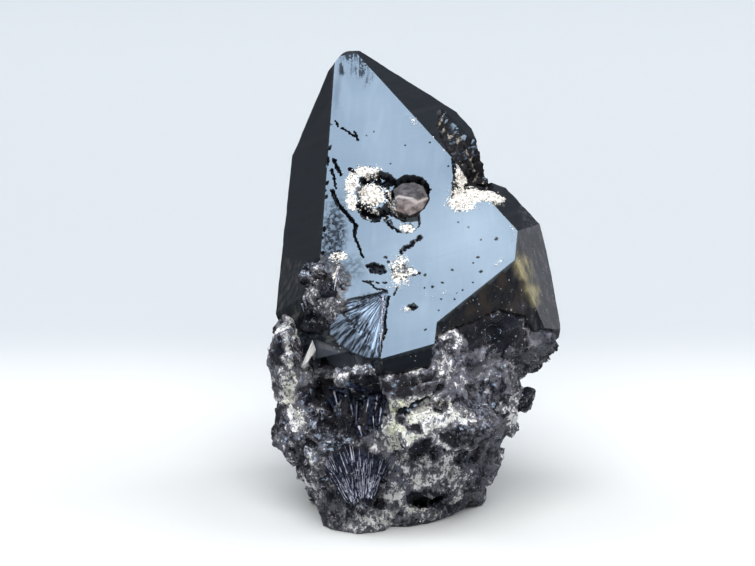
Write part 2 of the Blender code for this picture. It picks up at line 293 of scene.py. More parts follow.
def gridInside(ring, spacing):  # places inside a flat outline, clear of the outline itself
    low, high = ring.min(0), ring.max(0)
    xs, ys = np.arange(low[0], high[0], spacing), np.arange(low[1], high[1], spacing * 0.866)
    column, row = np.meshgrid(np.arange(len(xs)), np.arange(len(ys)))
    column, row = column.ravel(), row.ravel()
    places = np.stack((xs[column] + 0.5 * spacing * (row % 2), ys[row]), 1)
    places = places[inside(places, [tuple(p) for p in ring])]
    return places[distanceTo(places, list(ring), closed=True) > 0.45 * spacing]


def finelyMeshed(mesh, spacingOf):
    # every flat face in small triangles, with the same points along the edges that faces share
    spacings = [spacingOf(face) for face in mesh.polygons]
    edgeSpacing = {}
    for face, spacing in zip(mesh.polygons, spacings):
        for key in face.edge_keys:
            edgeSpacing[key] = min(spacing, edgeSpacing.get(key, 9))
    points = [np.array(v.co, float) for v in mesh.vertices]
    edgePoints = {}
    for (a, b), spacing in edgeSpacing.items():
        count = max(1, math.ceil(np.linalg.norm(points[a] - points[b]) / spacing))
        between = range(len(points), len(points) + count - 1)
        points.extend(points[a] + (points[b] - points[a]) * i / count for i in range(1, count))
        edgePoints[a, b] = [a, *between, b]
    triangles = []
    for face, spacing in zip(mesh.polygons, spacings):
        ring = []
        corners = list(face.vertices)
        for a, b in zip(corners, corners[1:] + corners[:1]):
            ring += edgePoints[a, b][:-1] if (a, b) in edgePoints else edgePoints[b, a][:0:-1]
        normal = np.array(face.normal)
        side = np.cross(normal, (0.3, 0.2, 1.0))
        side /= np.linalg.norm(side)
        basis = np.stack((side, np.cross(normal, side)))
        origin = points[ring[0]]
        flat = np.array([basis @ (points[i] - origin) for i in ring])
        outline = [flat[ring.index(corner)] for corner in corners]
        places = gridInside(np.array(outline), spacing)
        first = len(points)
        points.extend(origin + places @ basis)
        known = ring + list(range(first, len(points)))
        coords = [Vector(p) for p in np.vstack((flat, places))]
        made = geometry.delaunay_2d_cdt(coords, [], [list(range(len(ring)))], 1, 1e-6, True)
        names = []
        for place, origins in zip(made[0], made[3]):
            if origins:
                names.append(known[origins[0]])
            else:
                names.append(len(points))
                points.append(origin + np.array(place) @ basis)
        # the triangles also fill notches and hair-thin gaps along straight edges, and those go
        corners = np.array([[made[0][i] for i in triangle] for triangle in made[2]])
        sides = corners[:, 1:] - corners[:, :1]
        area = 0.5 * np.abs(sides[:, 0, 0] * sides[:, 1, 1] - sides[:, 0, 1] * sides[:, 1, 0])
        kept = inside(corners.mean(1), [tuple(p) for p in outline]) & (area > 1e-5)
        triangles += [[names[i] for i in triangle] for triangle, keep in zip(made[2], kept) if keep]
    fineMesh = bpy.data.meshes.new("fine")
    fineMesh.from_pydata([tuple(p) for p in points], [], triangles)
    bm = bmesh.new()
    bm.from_mesh(fineMesh)
    bmesh.ops.remove_doubles(bm, verts=bm.verts, dist=1e-4)
    bmesh.ops.recalc_face_normals(bm, faces=bm.faces)
    print("fine edges left open", sum(len(edge.link_faces) != 2 for edge in bm.edges))
    bm.to_mesh(fineMesh)
    bm.free()
    return fineMesh


def perPoint(mesh, kind):  # where each point is, for "co", or which way it faces, for "normal"
    flat = np.zeros(len(mesh.vertices) * 3)
    mesh.vertices.foreach_get(kind, flat)
    return flat.reshape(-1, 3)


def movePoints(mesh, points):
    mesh.vertices.foreach_set("co", points.ravel())
    mesh.update()


def paint(mesh, name, values):  # a value from 0 to 1 at each point, for the materials
    attribute = mesh.attributes.get(name) or mesh.attributes.new(name, "FLOAT", "POINT")
    attribute.data.foreach_set("value", np.clip(values, 0, 1).astype(np.float32))


def finishPiece(obj, slot, sharp=None):  # metres, smooth with sharp edges, on the stone's one body
    obj.data.transform(toMetres)
    movePoints(obj.data, np.clip(perPoint(obj.data, "co"), *(np.array(corner) for corner in cadBox)))
    obj.data.shade_smooth()
    if sharp is not None:
        obj.data.set_sharp_from_angle(angle=math.radians(sharp))
    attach(obj, "root")
    print("piece", obj.name, sum(len(face.vertices) - 2 for face in obj.data.polygons), "triangles")


# the two crystals: flat glassy faces, with the marks of the bright face sunk into them
crystals = {
    "brightSpacing": 0.17,  # mm between the points of each kind of face
    "brokenSpacing": 0.3,
    "darkSpacing": 0.6,
    "onBright": 0.02,  # how near its plane a point has to be to count as on the bright face
    "sharpFrom": 24,
    "notchCrust": [  # centre, radii and turn, softness and raggedness of the rim, seed
        (((470, 197), (20, 11), 10), 0.4, 2.0, 28), (((460, 178), (6, 14), -15), 0.5, 0.0, 0),
        (((488, 197), (17, 5.5), 16), 0.4, 2.0, 66),
    ],
    "notchHigh": 0.25,
    "steps": [((0.12, 0.12, 1), 1.3, 48, 1), ((0.2, 0.2, 1), 0.6, 49, 0.5)],  # growth steps across the long axis
    "stepsHigh": 0.06,
    "swayHigh": 0.05,
    "olive": [((524, 268), (8, 14), -20), ((533, 292), (6, 12), -15)],
    "recess": {  # the flat-floored hollow low on the left
        "floor": (120.0, prism, -22.2),
        "outer": (-60.0, prism, 30.0),
        "top": (-60.0, 12.0, -34.6),
        "right": (30.0, prism, 18.1),
        "left": (-150.0, prism, -7.7),
        "bottom": (0.0, basal, 52.0),
    },
}

# marks on the bright face: pits and cracks with their depths in mm, crust, dots and shades
brightMarks = {
    "pits": [
        ([(361, 180), (368, 175), (380, 173), (391, 176), (397, 184), (393, 192), (386, 187), (378, 184),
          (368, 184)], 0.9),
        ([(358, 205), (364, 209), (372, 211), (382, 209), (388, 204), (393, 208), (391, 216), (384, 221),
          (372, 221), (363, 217)], 0.9),
        ([(391, 189), (396, 181), (404, 177), (414, 176), (422, 180), (428, 187), (428, 199), (423, 208),
          (416, 214), (404, 216), (394, 211), (389, 200)], 1.9),
        ([(384, 206), (397, 213), (409, 217), (418, 214), (419, 222), (413, 231), (402, 231), (392, 224)], 0.9),
    ],
    "cracks": [
        ([(332, 191), (338, 204), (346.5, 214), (353.5, 222), (356, 227)], 4.2, 3.4, 0.6),
        ([(356, 226), (354, 235), (358.5, 246), (363, 257)], 4.4, 1.6, 0.6),
        ([(335.5, 121), (338.5, 127)], 1.6, 1.6, 0.25),
        ([(342, 128), (347, 131), (352, 135), (357, 137), (358, 142)], 2.0, 1.5, 0.3),
        ([(354, 131.5), (357, 136), (358, 140)], 1.7, 1.2, 0.3),
        ([(388.5, 297), (386, 309), (384.5, 323), (386, 331), (381.5, 341), (379, 354)], 3.0, 2.6, 0.5),
        ([(379, 294), (384, 298), (389, 296)], 2.0, 1.6, 0.3),
        ([(363, 281), (370, 283.5), (377, 289), (387, 290)], 1.8, 1.3, 0.25),
        ([(370, 281), (378, 283), (387, 283)], 1.2, 0.9, 0.15),
        ([(394, 295), (398, 287)], 1.9, 1.2, 0.25),
        ([(334, 160), (337, 168), (341, 175)], 4.4, 2.6, 0.5),
        ([(332, 170), (334, 178), (336, 188)], 3.0, 1.4, 0.4),
        ([(350, 169), (357, 174)], 4.0, 2.2, 0.4),
        ([(383, 216), (389, 225), (399, 231.5), (411, 232), (419, 225), (418, 215)], 2.6, 2.2, 0.4),
    ],
    "faint": [
        [(416.6, 259.5), (436, 257), (461.5, 250)],
        [(452.4, 276), (451.5, 287), (451, 297)],
        [(438, 226), (438.2, 233)],
        [(463, 214), (462.5, 232), (462, 250)],
        [(430, 190), (440, 196), (452, 197)],
        [(431, 186), (441, 191), (452, 192)],
    ],
    "dots": [
        (495.9, 238.7, 1.5), (480.5, 240, 1.0), (478, 257.3, 1.4), (481, 271.4, 1.8), (473.5, 263, 1.0),
        (452.4, 270, 1.2), (442.3, 283, 1.3), (433, 286.8, 1.4), (424.4, 288.2, 1.0), (430.7, 261.6, 0.9),
        (462.5, 290, 1.3), (457.3, 293.8, 1.0), (454.5, 299, 1.4), (425.5, 329.6, 1.3), (441.2, 298.7, 0.8),
        (472.8, 282.6, 0.9), (458.7, 222, 1.0), (413.8, 284.7, 0.8), (480.5, 246.8, 0.8), (468.5, 227, 0.8),
        (439, 310, 0.8), (408, 317, 0.8), (430, 143, 1.1), (390.5, 163, 0.9), (405, 145, 0.7),
        (366.5, 135, 0.9), (373, 132, 1.0), (369, 133.5, 0.8), (329.5, 149, 1.2), (327.5, 160, 1.2),
        (386, 257.5, 1.6), (388, 262, 1.4), (419, 273.5, 1.6), (425, 275, 1.3), (448, 166, 1.0),
    ],
    # painted shade: dark rims sunk and blackened along the pits and breaks
    "blackRims": [
        ([(364, 181), (376, 179), (386, 181)], 7.5),
        ([(378, 175), (388, 176), (395, 183)], 4.5),
        ([(359, 207), (366, 213), (377, 215), (387, 210)], 8.5),
        ([(387, 194), (391, 203), (396, 211), (403, 216)], 4.5),
        ([(391, 190), (396, 182), (405, 177.5), (416, 177), (425, 182), (429, 190)], 3.0),
        ([(453, 160), (455, 172), (454, 188)], 3.6),
        ([(392, 203), (396, 212), (404, 216)], 3.6),
        ([(401, 252), (406, 247), (411, 246), (414, 241), (420, 238)], 4.6),
    ],
    "blackPatches": [
        [(366, 265), (374, 263), (382, 265), (386, 272), (379, 274), (370, 271)],
        [(408, 306), (414, 303), (417, 308), (411, 310)],
    ],
    "crust": [  # centre, radii, turn and how pale
        ((364, 172), (17, 5.5), -6, 0.85), ((352, 184), (7, 13), 8, 0.9), ((352, 202), (6.5, 10), -14, 0.85),
        ((372, 196), (13, 11), 0, 1.0), ((372, 213), (13, 6), 5, 0.6), ((389, 197), (4, 10), -15, 0.85),
        ((407, 225), (8, 4), 20, 0.95), ((461, 203), (14, 8.5), 8, 1.0), ((486, 199), (15, 2.6), 14, 0.7),
        ((396, 205), (3, 9), -35, 0.9), ((399, 263), (12, 8), -30, 0.66), ((399, 279), (11, 10), 20, 0.66),
        ((412, 272), (7, 4), 0, 0.7), ((406, 309), (5, 3), 0, 0.6), ((338, 257), (9, 5), 0, 0.9),
        ((336, 274), (1.6, 10), 18, 0.8), ((331, 288), (1.4, 8), 8, 0.7), ((326, 303), (14, 8), 25, 0.5),
        ((447, 292), (9, 3), 0, 0.25), ((428, 296), (9, 3), 0, 0.3), ((500, 262), (8, 2.6), -35, 0.45),
        ((514, 234), (1.6, 14), -4, 0.35), ((495, 206), (12, 1.6), 22, 0.3), ((444, 146), (11, 2.4), 40, 0.55),
        ((414, 121), (10, 3.0), 38, 0.5), ((465, 196), (15, 8), 15, 1.0), ((458, 182), (4, 10), -10, 0.8),
        ((345, 341), (6, 8), 0, 0.6), ((382, 315), (1.5, 24), 2, 0.6), ((337, 318), (5, 5), 0, 0.5),
    ],
    "earthy": [  # brown and pink-grey mottled rock breaking through
        ((333, 280), (17, 19), 0), ((330, 306), (18, 14), 20), ((401, 271), (8, 7), 0), ((322, 268), (7, 14), 0),
        ((360, 193), (5, 6), 0),
    ],
    "shade": [  # dark where the face rounds away from the light
        ((333, 236), (13, 36), 8, 0.95), ((325, 225), (6, 40), 4, 0.5), ((352, 268), (16, 14), 0, 0.55),
        ((347, 322), (11, 15), 30, 0.9), ((362, 337), (7, 19), 18, 0.75), ((362, 300), (16, 5), -20, 0.7),
        ((337, 92), (4, 24), 6, 0.35), ((466, 205), (4, 3), 0, 0.3),
    ],
    "tipShade": [  # painted shade: dark streaks below the tip, added to the shade
        ((354, 56), (14, 6), 5, 1.0), ((364, 63), (7, 5), 30, 1.0), ((342.5, 68), (3.5, 9), 10, 1.0),
        ((361, 69), (7, 10), 25, 0.85), ((350, 68), (3, 9), 0, 0.55), ((369, 79), (4, 9), 28, 0.6),
    ],
    "speckled": ((334, 232), (13, 34), 8),
    "plug": ((371, 195), (11, 11), 0),  # the cream lump that fills the left pit
    "leftEdge": [(334, 76), (330.5, 127), (328, 159), (325, 198), (322, 262)],
    "haze": [  # centre, radii, turn and strength of the faint milky bloom
        ((488, 245), (40, 52), 0, 0.085), ((440, 225), (46, 34), 0, 0.05), ((425, 315), (40, 30), 0, 0.03),
        ((395, 130), (34, 44), -20, 0.03), ((400, 262), (40, 30), 0, 0.03),
    ],
    "streaks": {"foot": (388, 290), "from": 98, "to": 168, "reach": 74},
    "sunk": {  # mm that each kind goes into the face
        "dots": 0.12, "blackRims": 0.35, "blackPatches": 0.4, "nicks": 0.3, "streaks": 0.25, "fibres": 0.3,
    },
    "plugHigh": 0.25,
    "layers": {  # noises for the finer look: stretch, size, seed and strength of each
        "faded": [(1, 3.2, 67, 1), (1, 1.4, 68, 0.5)],
        "tipStreaks": [((1, 0.16), 1.7, 61, 1), (1, 1.6, 62, 0.5)],
        "veils": [((1, 0.3), 9.0, 44, 1), (1, 60, 45, 0.6)],
        "scratches": [((1, 0.1), 2.2, 46, 1), (1, 20, 47, 0.3)],
    },
    "outlines": {  # size, reach and seed of how ragged each kind of mark is
        "pits": (4.0, 1.3), "cracks": (2.6, 1.1, 3), "faint": (7.0, 0.6, 4), "dots": (2.0, 0.8, 65),
        "blackRims": (3.0, 1.6, 6), "crust": (3.0, 1.8, 8), "earthy": (5.0, 3.0, 9), "shade": (6.0, 2.0, 11),
        "tipShade": (3.0, 1.2, 63), "leftEdge": (5.0, 1.5, 17), "plug": (3.0, 1.5, 16),
    },
}


def roundFoot(at):  # which way places lie from the foot of the streaks, in degrees, and how far
    away = at - np.array(brightMarks["streaks"]["foot"])
    return np.degrees(np.arctan2(away[:, 1], away[:, 0])), np.hypot(away[:, 0], away[:, 1])


def sinkMarks(points, at, onBright):
    # how deep each point of the bright face sinks, and what its surface is there
    edges = {kind: ragged(at, *given) for kind, given in brightMarks["outlines"].items()}
    layers = {kind: layered(at, given) for kind, given in brightMarks["layers"].items()}
    sunk = brightMarks["sunk"]
    fine = noiseAt(points, 0.5)
    coarse = noiseAt(points, 1.4, 5)
    depth = np.zeros(len(at))
    black, shade = np.zeros(len(at)), np.zeros(len(at))
    for outline, deep in brightMarks["pits"]:
        depth = np.maximum(depth, deep * patch(edges["pits"], outline, 1.6))
    for line, wide, thin, deep in brightMarks["cracks"]:
        mark = stroke(edges["cracks"], line, 0.8 * wide, 0.75 * thin)
        mark *= ramp(fine + 0.85, 0.0, 0.4)  # broken up here and there
        depth, black = np.maximum(depth, deep * mark), np.maximum(black, mark)
    for line in brightMarks["faint"]:
        shade = np.maximum(shade, 0.2 * stroke(edges["faint"], line, 2.0))
    for u, v, radius in brightMarks["dots"]:
        mark = blot(edges["dots"], (u, v), (0.75 * radius, 0.5 * radius), 40 * math.sin(u), 0.6)
        depth, black = np.maximum(depth, sunk["dots"] * radius * mark), np.maximum(black, 0.7 * mark)
    for line, wide in brightMarks["blackRims"]:
        mark = stroke(edges["blackRims"], line, wide) * ramp(fine + 0.32, 0.0, 0.25)
        depth, black = depth + sunk["blackRims"] * mark, np.maximum(black, mark)
    for outline in brightMarks["blackPatches"]:
        mark = patch(edges["pits"], outline, 1.0) * ramp(fine + 0.6, 0.0, 0.4)
        depth, black = np.maximum(depth, sunk["blackPatches"] * mark), np.maximum(black, mark)
    pale = strongest(edges["crust"], brightMarks["crust"], 0.65)
    earthy = strongest(edges["earthy"], brightMarks["earthy"], 0.5)
    shade = np.maximum(shade, strongest(edges["shade"], brightMarks["shade"], 0.8))
    faded = 0.5 + 0.5 * ramp(layers["faded"], -0.2, 0.1)
    shade *= np.where(at[:, 1] > 195, faded, 1)  # from the pits down
    tipStreaks = ramp(layers["tipStreaks"], -0.35, 0.15)
    shade = np.maximum(shade, tipStreaks * strongest(edges["tipShade"], brightMarks["tipShade"], 0.5))
    speckled = blot(at, *brightMarks["speckled"], 0.5) * ramp(noiseAt(at, 1.7, 12), 0.18, 0.4)
    black = np.maximum(black, 0.8 * speckled)
    pale = np.where(black > 0.4, 0, pale)
    nicks = stroke(edges["leftEdge"], brightMarks["leftEdge"], 3.6) * ramp(noiseAt(at, 4.5, 18), 0.32, 0.5)
    nicks *= ramp(at[:, 1], 96, 130)  # none near the tip
    depth, black = np.maximum(depth, sunk["nicks"] * nicks), np.maximum(black, 0.9 * nicks)
    ridges = brightMarks["streaks"]
    angle, far = roundFoot(at)
    angle = angle + 3 * noiseAt(at, 16, 13)
    fan = ramp(angle, ridges["from"] - 2, ridges["from"] + 2) * (1 - ramp(angle, ridges["to"] - 6, ridges["to"]))
    fan *= 1 - ramp(far, ridges["reach"] - 8, ridges["reach"])
    fibre = 0.5 + 0.5 * noiseAt(np.stack((angle, far / 14), 1), 2.6, 14)
    depth += fan * (sunk["streaks"] + sunk["fibres"] * fibre)
    plug = blot(edges["plug"], *brightMarks["plug"], 0.25)
    depth = depth * (1 - plug) - brightMarks["plugHigh"] * plug * (1 + fine)
    black *= 1 - ramp(plug, 0.3, 0.7)
    depth -= pale * (0.06 + 0.2 * np.abs(fine)) + earthy * (0.1 + 0.3 * coarse + 0.12 * fine)
    haze = 0.006 * (1 + noiseAt(at * (1, 0.12), 5.0, 26)) + 0.02 * ramp(noiseAt(at, 30, 27), -0.2, 0.6)
    haze += 0.022 * ramp(layers["veils"], 0.1, 0.6)
    scratches = ramp(layers["scratches"], 0.42, 0.6) * ramp(at[:, 1], 150, 230)
    shade = np.maximum(shade, 0.16 * scratches)
    for *place, strength in brightMarks["haze"]:
        haze += strength * blot(at, *place, 0.8)
    return (kind * onBright for kind in (depth, black, pale, earthy, shade, haze, fan))


# the broken shoulder on the right: where it lies in the picture, how deep it goes in mm, and its ochre streaks
shoulder = {
    "outline": [(440, 112), (452, 120), (464, 134), (478, 143), (484, 160), (490, 188), (478, 190), (466, 178),
                (456, 160), (446, 146), (438, 128)],
    "deep": 1.3,
    "ochre": [  # centre, radii, turn and strength
        ((443, 118), (1.6, 7), 25, 0.8), ((447, 124), (1.4, 8), 5, 0.8), ((452, 132), (1.6, 6), -25, 0.7),
        ((461, 137), (4, 5), 30, 0.7), ((456, 131), (1.5, 4), 30, 0.6), ((470, 148), (2.6, 4), 0, 1.1),
        ((475, 156), (2, 5), 30, 0.8), ((478, 166), (2.5, 5), 10, 1.0), ((483, 175), (2, 5), 20, 0.8),
        ((466, 160), (1.6, 5), -20, 0.6), ((487, 183), (1.6, 4), 20, 0.7), ((458, 150), (2, 5), 10, 0.45),
    ],
}


def breakOpen(points, at, normals):
    facing = ramp(normals @ -shotAhead, -0.35, -0.05)
    jagged = 0.5 + 0.5 * noiseAt(points, 1.5, 21) + 0.5 * np.abs(noiseAt(points, 0.7, 22))
    ruin = patch(ragged(at, 5.0, 2.0, 20), shoulder["outline"], 2.0) * facing
    depth = np.maximum(shoulder["deep"] * ruin * jagged, 0)
    slim = [(centre, (0.75 * wide, tall), turn, 0.8 * strength) for centre, (wide, tall), turn, strength in
            shoulder["ochre"]]
    return depth, ruin, strongest(ragged(at, 2.2, 1.7, 23), slim, 0.6) * facing


flanks = {  # streaked or duller parts of the crystals' faces: where, and how strong
    "right": ([(520, 200), (560, 215), (566, 400), (520, 400), (505, 330), (515, 262), (520, 235)], 1.0),
    "front": ([(434, 322), (508, 262), (518, 236), (530, 260), (530, 400), (434, 400)], 0.75),
    "leftLow": ([(262, 250), (300, 262), (320, 290), (320, 330), (262, 330)], 0.55),
    # the fan's streaks are painted reflection: pale blue fibres over dark troughs
    "fan": ([(330, 318), (352, 300), (384, 296), (382, 357), (364, 358), (340, 346), (330, 334)], 1.0),
    "facet": ([(310, 342), (336, 346), (360, 358), (362, 370), (352, 376), (308, 376)], 1.0),
}


def growCrystals():
    obj = cutBlock("crystals", mainCrystal)
    combine(obj, cutBlock("sideCrystal", sideCrystal), "UNION")
    combine(obj, cutBlock("recess", crystals["recess"]), "DIFFERENCE")
    joinSeams(obj.data)
    bright, dull = (np.array(outward(mainCrystal[name])) for name in ("frontRhomb", "rightRhomb"))

    def spacingOf(face):
        if np.array(face.normal) @ bright > 0.999:
            return crystals["brightSpacing"]
        return crystals["brokenSpacing"] if np.array(face.normal) @ dull > 0.7 else crystals["darkSpacing"]

    obj.data = finelyMeshed(obj.data, spacingOf)
    points, normals = (perPoint(obj.data, kind) for kind in ("co", "normal"))
    at = pixelsOf(points)
    plane = np.min([np.abs(offFace(points, one["frontRhomb"])) for one in (mainCrystal, sideCrystal)], 0)
    onBright = (plane < crystals["onBright"]).astype(float)
    depth, black, pale, earthy, shade, haze, brightFan = sinkMarks(points, at, onBright)
    front = ramp(normals @ -shotAhead, 0.0, 0.2)
    notch = front * (1 - onBright) * np.max(
        [blot(ragged(at, 4.0, reach, seed), *place, soft) for place, soft, reach, seed in crystals["notchCrust"]], 0
    )
    pale = np.maximum(pale, notch * (0.8 + 0.6 * noiseAt(points, 1.6, 43)))
    depth -= crystals["notchHigh"] * notch * (1 + noiseAt(points, 0.9, 29))
    for outline in rock["cover"]:
        depth += rock["under"] * patch(at, outline, 2.5) * front * (1 - onBright) * (pale < 0.5)
    steps = crystals["stepsHigh"] * layered(inCrystal(points), crystals["steps"])
    depth += (1 - onBright) * (steps + crystals["swayHigh"] * noiseAt(points, 5.0, 50))
    # a few crust patches, fewer higher up, on the sides that the photograph doesn't show
    unseen = 1 - ramp(normals @ -shotAhead, -0.25, 0.05)
    patches = unseen * ramp(noiseAt(points, 6.0, 51) - 0.012 * (points[:, 2] - 25), 0.25, 0.5)
    pale = np.maximum(pale, 0.4 * patches * (1 + noiseAt(points, 0.8, 53)))
    depth += patches * (0.2 + 0.3 * noiseAt(points, 1.4, 52))
    sideways = onBright[:, None] * bright + (1 - onBright)[:, None] * normals
    points -= depth[:, None] * sideways
    deep, ruin, streaks = breakOpen(points, at, normals)
    points -= (deep * (1 - onBright))[:, None] * normals
    movePoints(obj.data, points)
    stray = (1 - onBright) * ramp(noiseAt(points, 2.2, 41), 0.42, 0.7) * ramp(18 - points[:, 2], -14, 6)
    angle, far = roundFoot(at)
    front *= 1 - onBright
    edge = ragged(at, 8.0, 3.0, 24)
    looks = {name: strength * patch(edge, outline, 4.0) * front for name, (outline, strength) in flanks.items()}
    looks["fan"] = np.maximum(looks["fan"], brightFan)
    looks |= {"black": black, "pale": pale, "earthy": earthy, "shade": shade, "haze": haze}
    looks |= {
        "ruin": np.maximum(ruin, patches) * (1 - onBright),
        "ochre": streaks * (1 - onBright),
        "grains": np.maximum(pale**2, 0.25 * stray),
        "fanTurn": angle / 180,
        "fanReach": far / 200,
        "height": (inCrystal(points)[:, 2] + 80) / 100,
        "olive": front * strongest(edge, crystals["olive"], 0.5),
    }
    for name, values in looks.items():
        paint(obj.data, name, values)
    return obj


# the rough root: a close skin over the solid, broken into facets, and sunk where a crystal's flat face covers it
rock = {
    "cell": 0.31,  # mm between the skin's points
    "top": 37.0,
    "sunk": 0.7,  # how far it lies under a crystal's bare face
    "under": 1.3,  # how far a crystal's face goes down where the root covers it
    "facets": [(2.6, 0.2), (1.2, 0.13)],  # size of the broken facets and how steeply they lean
    "lumps": [(1.7, 0.1), (0.6, 0.05)],  # size and height of the rough lumps on them
    "crustLumps": (1.0, 0.2),
    "trims": [  # places where the skin stays lower: centre, radii, turn and mm
        ((558, 335), (16, 42), 0, 0.55), ((522, 420), (16, 60), 12, 0.3), ((265, 380), (10, 60), 0, 0.2),
        ((266, 322), (13, 28), 0, 0.45),
    ],
    "seed": 5,
    "pale": 0.5,
    "behind": 0.3,  # the same on the sides that the photograph doesn't show
    "tint": [(1, 6.0, 31, 0.5), (1, 2.4, 32, 0.25)],  # how the paleness varies: stretch, size, seed, strength
    "ledgesHigh": 0.3,
    "cover": [  # where rock grows over a crystal's foot
        [(434, 340), (447, 333), (466, 326), (500, 312), (524, 318), (542, 348), (564, 376), (566, 410),
         (436, 430)],
        [(316, 262), (334, 256), (348, 266), (346, 292), (334, 318), (318, 334), (298, 330)],
        [(376, 378), (400, 374), (430, 368), (438, 352), (470, 352), (470, 424), (376, 424)],
        [(262, 318), (292, 322), (300, 372), (310, 420), (262, 420)],
        [(455, 168), (470, 182), (490, 190), (502, 200), (494, 206), (470, 204), (456, 196)],
    ],
}

# patches of the root: centre, radii and turn in the picture; then how pale, green and smooth each is
rockPatches = {
    "rightMass": ((505, 322), (55, 34), 0, 0.08, 0.0, 0.9),
    "rightFlank": ((545, 335), (16, 60), 8, 0.42, 0.0, 0.9),
    "streakedMass": ((480, 378), (55, 26), -20, 0.42, 0.0, 0.5),
    "lowerRightLump": ((492, 448), (24, 32), 10, 0.42, 0.0, 0.7),
    "lowRightLump": ((470, 498), (22, 18), 0, 0.36, 0.0, 0.6),
    "blob": ((454, 339), (11, 9), 20, 0.75, 0.0, 0.5),
    "flame": ((450, 372), (9, 26), -35, 0.7, 0.0, 0.4),
    "flameTip": ((436, 385), (6, 14), -20, 0.6, 0.0, 0.4),
    "ridge": ((368, 372), (22, 17), -15, 0.5, 0.0, 0.0),
    "ridgeGap": ((367, 379), (13, 4.5), 10, 0.0, 0.0, 0.3),
    "ridgeGapLow": ((356, 391), (6, 5), -20, 0.0, 0.0, 0.3),
    "crust": ((424, 415), (40, 20), 4, 0.95, 0.35, 0.0),
    "crustLow": ((402, 434), (16, 16), 40, 0.85, 0.8, 0.0),
    "crustGreen": ((397, 406), (9, 6), 0, 0.8, 1.0, 0.0),
    "crustRight": ((452, 410), (16, 7), 20, 0.7, 0.7, 0.0),
    "crustGap": ((416, 428), (8, 4), 20, 0.1, 0.0, 0.0),
    "crustLeftGap": ((399, 418), (7, 5), 30, 0.2, 0.0, 0.0),
    "crustGapUpper": ((436, 408), (6, 3), 30, 0.05, 0.0, 0.0),
    "sparkling": ((460, 434), (17, 12), 20, 0.42, 0.0, 0.0),
    "sparklingGap": ((450, 440), (10, 5), 25, 0.0, 0.0, 0.2),
    "darkHole": ((424, 452), (13, 12), 0, 0.0, 0.0, 0.3),
    "granular": ((424, 474), (12, 19), 0, 0.8, 0.0, 0.0),
    "granularRight": ((448, 470), (14, 16), 0, 0.62, 0.1, 0.0),
    "lowRight": ((452, 490), (16, 12), 0, 0.55, 0.1, 0.0),
    "lowMiddle": ((398, 480), (18, 24), 0, 0.8, 0.0, 0.0),
    "slot": ((426, 497), (18, 6), -8, 0.0, 0.0, 0.3),
    "rim": ((412, 514), (32, 6), -3, 0.7, 0.3, 0.0),
    "bottomLeft": ((335, 512), (22, 16), 20, 0.3, 0.0, 0.3),
    "lilac": ((362, 505), (9, 11), 0, 0.65, 0.0, 0.0),
    "lowPit": ((379, 503), (6, 6), 0, 0.0, 0.0, 0.3),
    "whiteDrop": ((383, 496), (4, 3), 0, 1.0, 0.0, 0.5),
    "fringe": ((360, 450), (18, 5), 0, 0.8, 0.2, 0.0),
    "fanBack": ((356, 474), (32, 28), 0, 0.08, 0.0, 0.4),
    "bladeHollow": ((355, 412), (28, 24), 15, 0.05, 0.0, 0.5),
    "ledges": ((410, 386), (30, 11), -6, 0.22, 0.0, 0.8),
    "cavity": ((320, 394), (16, 15), 0, 0.12, 0.0, 0.9),
    "cavityLump": ((312, 413), (12, 8), 15, 0.6, 0.1, 0.0),
    "smoothFacet": ((332, 358), (22, 14), 0, 0.34, 0.0, 1.0),
    "mauveFacet": ((299, 387), (7, 18), -8, 0.3, 0.0, 1.0),
    "greenColumn": ((288, 372), (7, 48), -4, 0.85, 0.55, 0.0),
    "leftLens": ((273, 385), (8, 17), 0, 0.5, 0.0, 0.5),
    "leftGlossy": ((277, 350), (6, 16), 4, 0.0, 0.0, 0.8),
    "upperLeftFlake": ((281, 308), (6, 13), 10, 0.1, 0.0, 0.7),
    "earthyFoot": ((332, 288), (16, 28), 0, 0.2, 0.0, 0.0),
    "tanPatch": ((330, 306), (15, 9), 15, 0.72, 0.0, 0.0),
    "darkWedge": ((307, 325), (8, 22), -15, 0.0, 0.0, 0.8),
    "notchCrust": ((470, 196), (17, 10), 20, 1.0, 0.0, 0.0),
}


def brokenInto(points, size, lean, seed):
    # flat facets of that size, each leaning its own way: their heights, borders and tones
    chance = np.random.default_rng(seed)
    low, high = points.min(0) - size, points.max(0) + size
    seeds = chance.uniform(low, high, (int(np.prod(high - low) / size**3), 3))
    leans = chance.normal(0, lean, seeds.shape)
    tree = kdtree.KDTree(len(seeds))
    for number, place in enumerate(seeds):
        tree.insert(place, number)
    tree.balance()
    found = [tree.find_n(place, 2) for place in points]
    nearest = [pair[0][1] for pair in found]
    borders = 1 - ramp(np.array([pair[1][2] - pair[0][2] for pair in found]) / size, 0.02, 0.16)
    tones = chance.random(len(seeds))[nearest]
    return np.einsum("ij,ij->i", points - seeds[nearest], leans[nearest]), borders, tones


